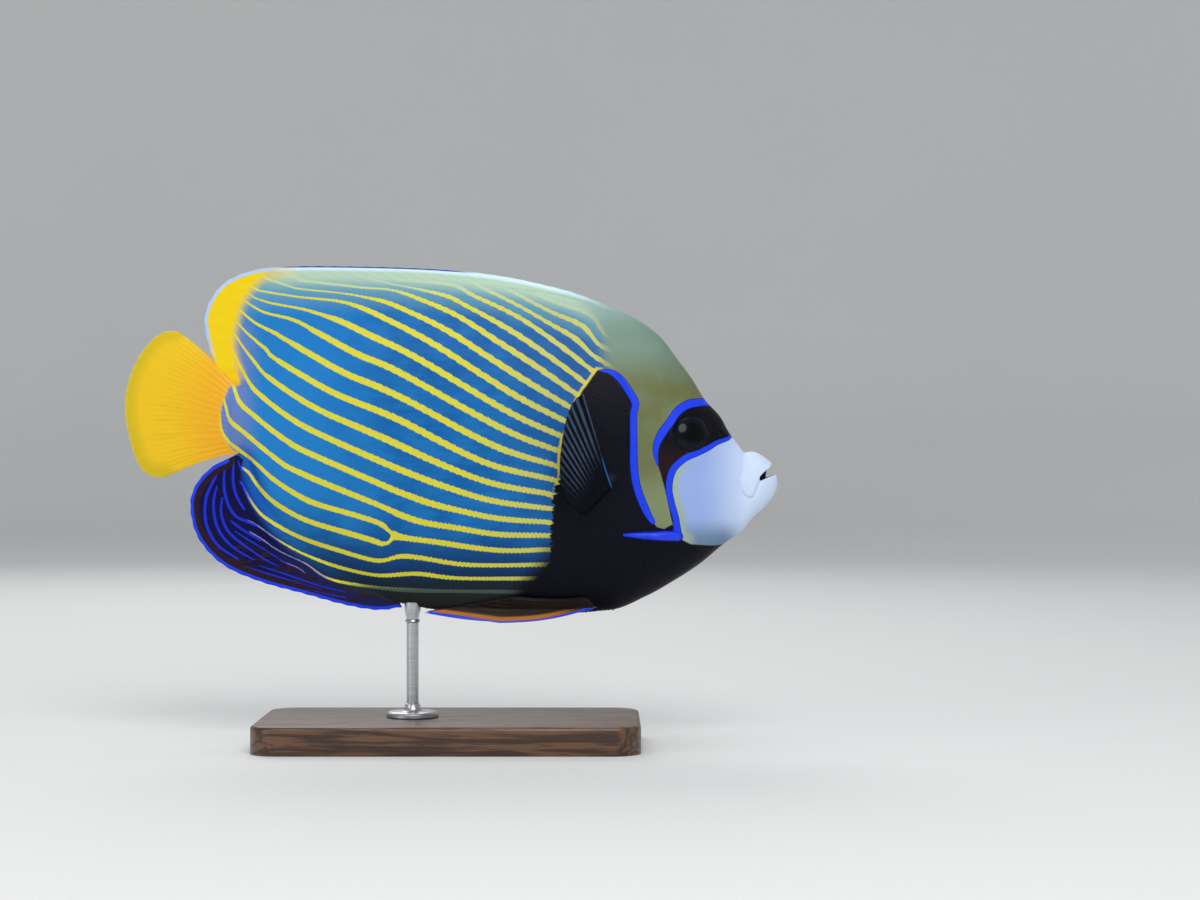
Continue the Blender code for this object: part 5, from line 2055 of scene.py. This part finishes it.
@dataclass
class Stand:
    """The display stand: a board with round corners and a turned steel rod up to the belly."""

    form: FishForm
    wood: Material
    steel: Material
    length: float = 190.0
    depth: float = 100.0
    height: float = 14.0
    corner: float = 14.0
    eased: float = 2.0
    underside_eased: float = 0.6
    rod_x: float = -18.7
    # Radius and height of the turned rod, from its foot up; heights over the board, then under the belly
    foot: Points = (
        (12.4, 0), (13, 0.5), (13, 1.9), (12.5, 2.6), (11.6, 3), (6.4, 3), (5.2, 3.3), (4.4, 4), (3.9, 5.2),
        (3.6, 6.6), (3, 7),
    )
    cup: Points = (
        (3, -8.6), (3.5, -8.3), (3.7, -7.7), (3.5, -7.1), (3.1, -6.8), (3.2, -5.6), (3.6, -4), (4, -2.4),
        (4, 1.6),
    )

    def build(self) -> None:
        """Makes board and rod."""
        self.board()
        self.rod()

    def board(self) -> None:
        """Makes the wooden base."""
        deselect_all()
        bpy.ops.mesh.primitive_cube_add(size=1.0)
        board = new_piece("wooden_base")
        size = np.array([self.length, self.depth, self.height]) * MM
        set_places(board, (places_of(board) + np.array([0.0, 0.0, 0.5])) * size)
        self.bevel(board, self.corner, 12, lambda a, b: abs(a[2] - b[2]) > 0.5 * size[2])
        self.bevel(board, self.eased, 5, lambda a, b: min(a[2], b[2]) > 0.9 * size[2])
        self.bevel(board, self.underside_eased, 2, lambda a, b: max(a[2], b[2]) < 0.1 * size[2])
        shade_smooth(board, 35.0)
        mount(board, self.wood, "stand_wood", "stand_base")

    def bevel(self, piece: Piece, width: float, segments: int, chosen: Callable) -> None:
        """Rounds some edges of a piece.

        Args:
            piece: The piece.
            width: How far the rounding reaches, in millimetres.
            segments: Faces over each rounded edge.
            chosen: Tells from an edge's two end points whether it is rounded.
        """
        take_up(piece)
        places = places_of(piece)
        for edge in piece.data.edges:
            edge.select = bool(chosen(*(places[i] for i in edge.vertices)))
        for part in (*piece.data.vertices, *piece.data.polygons):
            part.select = False
        bpy.context.tool_settings.mesh_select_mode = (False, True, False)
        bpy.ops.object.mode_set(mode="EDIT")
        bpy.ops.mesh.bevel(offset=width * MM, segments=segments, affect="EDGES")
        bpy.ops.object.mode_set(mode="OBJECT")
        bpy.context.tool_settings.mesh_select_mode = (True, False, False)

    def rod(self) -> None:
        """Makes the rod with its moulded foot and the small cup that the belly rests on."""
        under = SWIM_HEIGHT / MM + float(self.form.belly(np.array([self.rod_x * MM]))[0]) / MM
        profile = [(r, z + self.height) for r, z in self.foot] + [(r, z + under) for r, z in self.cup]
        rod = turned("steel_rod", [(r * MM, z * MM) for r, z in profile], 64, True)
        set_places(rod, places_of(rod) + np.array([self.rod_x * MM, 0.0, 0.0]))
        shade_smooth(rod, 35.0)
        mount(rod, self.steel, "stand_steel", "stand_rod")


@dataclass
class ScaleCoat:
    """Overlapping scales in diagonal rows over one side of the body and its middle fins."""

    form: FishForm
    marks: Markings
    material: Material
    name: str
    column_step: float
    row_step: float
    lift: float
    seed: int = 7
    overlap: float = 1.28
    patch: float = 0.003
    steepest: float = 6.0
    # How far roots keep from the side view's outline
    off_outline: float = 0.0
    # How far a column wavers, in shares of the columns' step, and how much sizes and lifts differ
    waver: float = 0.03
    size_range: tuple[float, float] = (0.94, 1.06)
    lift_range: tuple[float, float] = (0.8, 1.25)
    # Where roots are looked for: from behind the anal fin's edge, and from under to over the fish
    tail_most: float = -125.0
    lowest: float = -88.0
    highest: float = 92.0
    # A scale's rim and crown: back from its root and over it in its own size, and its lift
    outline: Points = (
        (-0.45, 0, -0.9), (-0.18, 0.42, -0.5), (0.22, 0.50, 0.15), (0.46, 0.30, 0.75), (0.56, 0, 0.95),
        (0.46, -0.30, 0.75), (0.22, -0.50, 0.15), (-0.18, -0.42, -0.5),
    )
    crown: tuple[float, float, float] = (0.06, 0.0, 1.0)

    def sizes(self, x: Field, z: Field, marks: Marks) -> Field:
        """Size of the scale at each root, as a share of the full size, or 0 where none grows."""
        raise NotImplementedError

    def colour_spread(self, x: Field) -> Field:
        """How far over a scale the skin's colours change, from 0, one colour, to 1, as on the skin."""
        return np.ones_like(x)

    def roots(self) -> tuple[Field, Field, Field]:
        """Where the scales are rooted.

        Returns:
            Places along the fish, heights, and distances from the mid-line over the skin, in metres.
        """
        form = self.form
        columns = np.arange(self.tail_most, form.snout, self.column_step / 2)
        heights = np.linspace(self.lowest, self.highest, 900) * MM
        x, z, tape = [], [], []
        for k, column in enumerate(columns):
            here = np.full_like(heights, column * MM)
            half = form.side(here, heights)
            run = np.concatenate([[0.0], np.cumsum(np.hypot(np.diff(half), np.diff(heights)))])
            run -= np.interp(0.0, heights, run)
            first, last = math.ceil(run[0] / MM / self.row_step), math.floor(run[-1] / MM / self.row_step)
            rows = np.arange(first, last + 1)
            rows = rows[(rows + k) % 2 == 0] * self.row_step * MM
            x.append(np.full_like(rows, column * MM))
            z.append(np.interp(rows, run, heights))
            tape.append(rows)
        return np.concatenate(x), np.concatenate(z), np.concatenate(tape)

    def directions(self, x: Field, z: Field) -> tuple[Field, Field, Field]:
        """Finds how scales lie on the right side.

        Args:
            x: Places along the fish in metres.
            z: Heights in metres.

        Returns:
            Unit directions towards the tail, over the scale, and outwards.
        """
        form, step = self.form, 0.4 * MM
        slope_x = (form.side(x + step, z) - form.side(x - step, z)) / (2 * step)
        slope_z = (form.side(x, z + step) - form.side(x, z - step)) / (2 * step)
        ease = np.minimum(1.0, self.steepest / np.maximum(np.hypot(slope_x, slope_z), TINY))
        out = np.stack([-slope_x * ease, -np.ones_like(x), -slope_z * ease], 1)
        out /= np.linalg.norm(out, axis=1)[:, None]
        back = np.array([-1.0, 0.0, 0.0]) + out * out[:, :1]
        back /= np.linalg.norm(back, axis=1)[:, None]
        return back, np.cross(back, out), out

    def build(self) -> None:
        """Makes the scales of both sides, with a patch of the OFBake map for each."""
        form, rng = self.form, np.random.default_rng(self.seed)
        x, z, tape = self.roots()
        low, high = (np.array([v.min() for v in (x, tape)]), np.array([v.max() for v in (x, tape)]))
        size = self.sizes(x, z, self.marks.fields(x, z))
        on = (size > 0) & (form.side(x, z + self.off_outline * MM) > 0)
        on &= form.side(x, z - self.off_outline * MM) > 0
        x, z, tape, size = x[on], z[on], tape[on], size[on]
        x = x + rng.normal(0, self.waver, len(x)) * self.column_step * MM
        back, up, out = self.directions(x, z)
        local = np.array([*self.outline, self.crown])
        spread = size * rng.uniform(*self.size_range, len(x))
        length = self.overlap * self.column_step * MM * spread
        height = 2 * self.row_step * 1.06 * MM * spread
        lift = self.lift * MM * size * rng.uniform(*self.lift_range, len(x))
        root = np.stack([x, -form.side(x, z), z], 1)
        points = (
            root[:, None]
            + back[:, None] * (local[:, 0] * length[:, None])[..., None]
            + up[:, None] * (local[:, 1] * height[:, None])[..., None]
            + out[:, None] * (local[:, 2] * lift[:, None])[..., None]
        )
        count = len(self.outline)
        ring = np.arange(count)
        top = np.stack([ring, (ring + 1) % count, np.full(count, count)], 1)
        under = np.stack([np.zeros(count - 2, int), ring[2:], ring[1:-1]], 1)
        faces = np.vstack([top, under])
        every = (faces[None] + (np.arange(len(x)) * (count + 1))[:, None, None]).reshape(-1, 3)
        near = root[:, None] + (points - root[:, None]) * self.colour_spread(x)[:, None, None]
        near = near.reshape(-1, 3)
        marks = self.marks.fields(near[:, 0], near[:, 2])
        flat = np.stack([x, tape], 1)
        flat = 0.01 + 0.98 * (flat - low) / (high - low)
        uv = (flat[:, None] + local[None, :, :2] * self.patch).reshape(-1, 2)
        for side in Side:
            places = raised(points.reshape(-1, 3) * np.array([1.0, -side.value, 1.0]))
            outward = every if side is Side.LEFT else every[:, ::-1]
            piece = self.piece(f"{self.name}_{side.word}", places, outward, uv)
            store_all(piece, marks)
            shade_smooth(piece, 50.0)
            mount(piece, self.material, "striped_skin")

    def piece(self, name: str, places: Field, faces: Field, uv: Field) -> Piece:
        """Joins the scales of a side in one mesh.

        Args:
            name: The piece's name.
            places: The scales' points.
            faces: The points of each triangle.
            uv: Where each point lies on the map.

        Returns:
            The piece, with its OFBake map.
        """
        mesh = bpy.data.meshes.new(name)
        mesh.from_pydata(places.tolist(), [], faces.tolist())
        piece = bpy.data.objects.new(name, mesh)
        bpy.context.scene.collection.objects.link(piece)
        layer = mesh.uv_layers.new(name="OFBake")
        corners = np.empty(len(mesh.loops), np.int32)
        mesh.loops.foreach_get("vertex_index", corners)
        layer.uv.foreach_set("vector", uv[corners].astype(np.float32).ravel())
        return piece


@dataclass
class BodyScales(ScaleCoat):
    """The larger scales behind the gill cover and out on the middle fins."""

    name: str = "body_scales"
    column_step: float = 2.04
    row_step: float = 1.16
    lift: float = 0.14
    # How far scales stay from the middle fins' edges, behind and in front
    bare_edge: float = 6.0
    bare_front: float = 2.0

    def sizes(self, x: Field, z: Field, marks: Marks) -> Field:
        """Makes sizes fall towards the tail and out on the fins.

        Args:
            x: Places along the fish in metres.
            z: Heights in metres.
            marks: The markings at these places.

        Returns:
            A size for each, or 0 where no scale grows.
        """
        top, under, _ = marks["zone_c"]
        _, gill_line, _ = marks["zone_a"]
        behind_gill = x / MM - self.form.gill(z) / MM + self.form.gill_margin
        from_edge = np.minimum(top, under)
        bare = self.bare_edge + (self.bare_front - self.bare_edge) * step_up(0.0, 45.0, x / MM)
        size = 0.62 + 0.38 * step_up(bare, bare + 12.0, from_edge)
        size = size * (0.75 + 0.25 * step_up(self.form.tail_base, self.form.tail_base + 20, x / MM))
        return np.where((behind_gill < -1.4) & (from_edge > bare) & (gill_line > 1.3), size, 0.0)

    def colour_spread(self, x: Field) -> Field:
        """The stripes are smooth near the tail and toothed further forward."""
        return 0.88 - 0.16 * step_up(-70.0, 0.0, x / MM)


@dataclass
class HeadScales(ScaleCoat):
    """The small scales of nape, gill cover and throat."""

    name: str = "head_scales"
    column_step: float = 1.4
    row_step: float = 0.76
    lift: float = 0.07
    seed: int = 11
    off_outline: float = 1.0

    def sizes(self, x: Field, z: Field, marks: Marks) -> Field:
        """Makes sizes fall towards the mask and the face, which stay smooth as the blue lines do.

        Args:
            x: Places along the fish in metres.
            z: Heights in metres.
            marks: The markings at these places.

        Returns:
            A size for each, or 0 where no scale grows.
        """
        _, gill_line, face = marks["zone_a"]
        mask, blue, _ = marks["zone_b"]
        on_head = x / MM - self.form.gill(z) / MM + self.form.gill_margin
        bare = np.maximum(face, mask)
        size = 0.7 + 0.3 * step_up(-3.0, -14.0, bare)
        smooth = (bare > -1.6) | (gill_line < 1.5) | (blue < 1.5) | (x / MM > 144)
        return np.where((on_head > 1.0) & ~smooth, size, 0.0)


@dataclass
class Eyes:
    """Both eyes: low domes that sit in the skin's lids."""

    form: FishForm
    material: Material
    segments: int = 96

    def build(self) -> None:
        """Makes the right eye and its mirror image."""
        form = self.form
        x, z = (np.array([value * MM]) for value in form.eye)
        radius = form.eye_radius * MM
        slope_x = float((form.flesh(x + radius, z) - form.flesh(x - radius, z))[0] / (2 * radius))
        slope_z = float((form.flesh(x, z + radius) - form.flesh(x, z - radius))[0] / (2 * radius))
        facing = Vector((-slope_x, -1.0, -slope_z)).normalized()
        rim = [(x + radius, z), (x - radius, z), (x, z + radius), (x, z - radius)]
        level = float(np.mean([form.flesh(*spot)[0] for spot in rim]))
        centre = Vector((x[0], -level, z[0])) - facing * form.eye_sunk * MM
        deselect_all()
        rings = self.segments // 2
        bpy.ops.mesh.primitive_uv_sphere_add(segments=self.segments, ring_count=rings, radius=radius)
        right = new_piece("eye_right_ball")
        ball = places_of(right)
        ring = np.hypot(ball[:, 0], ball[:, 1]) / radius
        store(right, "eye", np.where(ball[:, 2] > 0, ring, 1.0))
        ball[:, 2] *= form.eye_dome * MM / radius
        turn = np.array(facing.to_track_quat("Z", "Y").to_matrix())
        set_places(right, raised(ball @ turn.T + np.array(centre)))
        shade_smooth(right, 80.0)
        left = mirrored(right, "eye_left_ball")
        mount(right, self.material, "eye_gloss", "eye_right")
        mount(left, self.material, "eye_gloss", "eye_left")


# Studio


@dataclass
class Studio:
    """A pale round sweep, soft lights and the camera at the photograph's view."""

    centre: tuple[float, float] = (0.075, 0.1475)
    frame_width: float = 0.6
    distance: float = 1.3
    sensor: float = 36.0
    # Radius and height of the sweep's rings, from the floor up
    sweep: Points = ((2.2, 0), (2.6, 0.03), (2.9, 0.16), (3.05, 0.42), (3.1, 0.9), (3.1, 1.8))
    paper: Colour = Colour(226, 227, 226)
    paper_light: Colour = Colour(232, 232, 230)
    sky: Colour = Colour(236, 240, 246)
    sky_strength: float = 0.45
    # Each light's name, place, width and power in watts
    lights: tuple[tuple[str, tuple[float, float, float], float, float], ...] = (
        ("key_light", (0.3, -1.4, 1.3), 1.0, 17.0), ("back_light", (-0.4, 1.4, 1.3), 1.2, 9.0),
        ("top_light", (0.0, 0.0, 1.9), 1.6, 6.0), ("low_fill", (-1.3, -1.1, 0.5), 1.0, 4.0),
    )

    def floor(self) -> None:
        """Adds a round floor whose rim curves up into a low wall."""
        floor = turned("studio_floor", self.sweep, 96, False)
        shade_smooth(floor, 60.0)
        p = Painter("studio_paper")
        colour = p.over(self.paper, self.paper_light, p.noise(0.6))
        floor.data.materials.append(p.finish(colour, 0.85))

    def light(self, name: str, place: Sequence[float], size: float, power: float) -> None:
        """Adds a round soft light that looks at the fish.

        Args:
            name: Its name.
            place: Where it hangs.
            size: How wide it is.
            power: Its power in watts.
        """
        deselect_all()
        bpy.ops.object.light_add(type="AREA", location=place)
        lamp = bpy.context.object
        lamp.name = name
        lamp.data.shape = "DISK"
        lamp.data.size = size
        lamp.data.energy = power
        aim = Vector((0.0, 0.0, SWIM_HEIGHT)) - Vector(place)
        lamp.rotation_euler = aim.to_track_quat("-Z", "Y").to_euler()

    def build(self) -> None:
        """Sets up floor, lights, sky and camera."""
        self.floor()
        for light in self.lights:
            self.light(*light)
        world = bpy.data.worlds.new("studio_sky")
        bpy.context.scene.world = world
        world.use_nodes = True
        sky = world.node_tree.nodes["Background"]
        sky.inputs["Color"].default_value = self.sky.rgba
        sky.inputs["Strength"].default_value = self.sky_strength
        deselect_all()
        x, z = self.centre
        bpy.ops.object.camera_add(location=(x, -self.distance, z), rotation=(math.pi / 2, 0, 0))
        camera = bpy.context.object
        camera.name = "photo_camera"
        camera.data.sensor_width = self.sensor
        camera.data.lens = self.sensor * self.distance / self.frame_width
        bpy.context.scene.camera = camera
        bpy.context.scene.view_settings.view_transform = "Standard"


def main() -> None:
    """Builds each sub-assembly in order and reports its pieces."""
    logging.basicConfig(level=logging.INFO, format="%(name)s %(message)s")
    form = FishForm()
    marks = Markings(form)
    finish = SkinFinish()
    skin = finish.material("angelfish_skin")
    lips = finish.material("angelfish_lips", with_mouth=True)
    for part in (
        Skin(form, marks, skin),
        Snout(form, marks, lips),
        CheekSpines(form, SpineFinish().material()),
        Eyes(form, EyeFinish().material()),
        DorsalFin(form, marks, skin),
        AnalFin(form, marks, skin),
        TailFin(form, marks, TailFinish().material(finish)),
        PectoralFin(form, PectoralFinish().material()),
        PelvicFin(form, PelvicFinish().material()),
        BodyScales(form, marks, skin),
        HeadScales(form, marks, skin),
        Stand(form, WoodFinish().material(), SteelFinish().material()),
        Studio(),
    ):
        part.build()


if __name__ == "__main__":
    main()
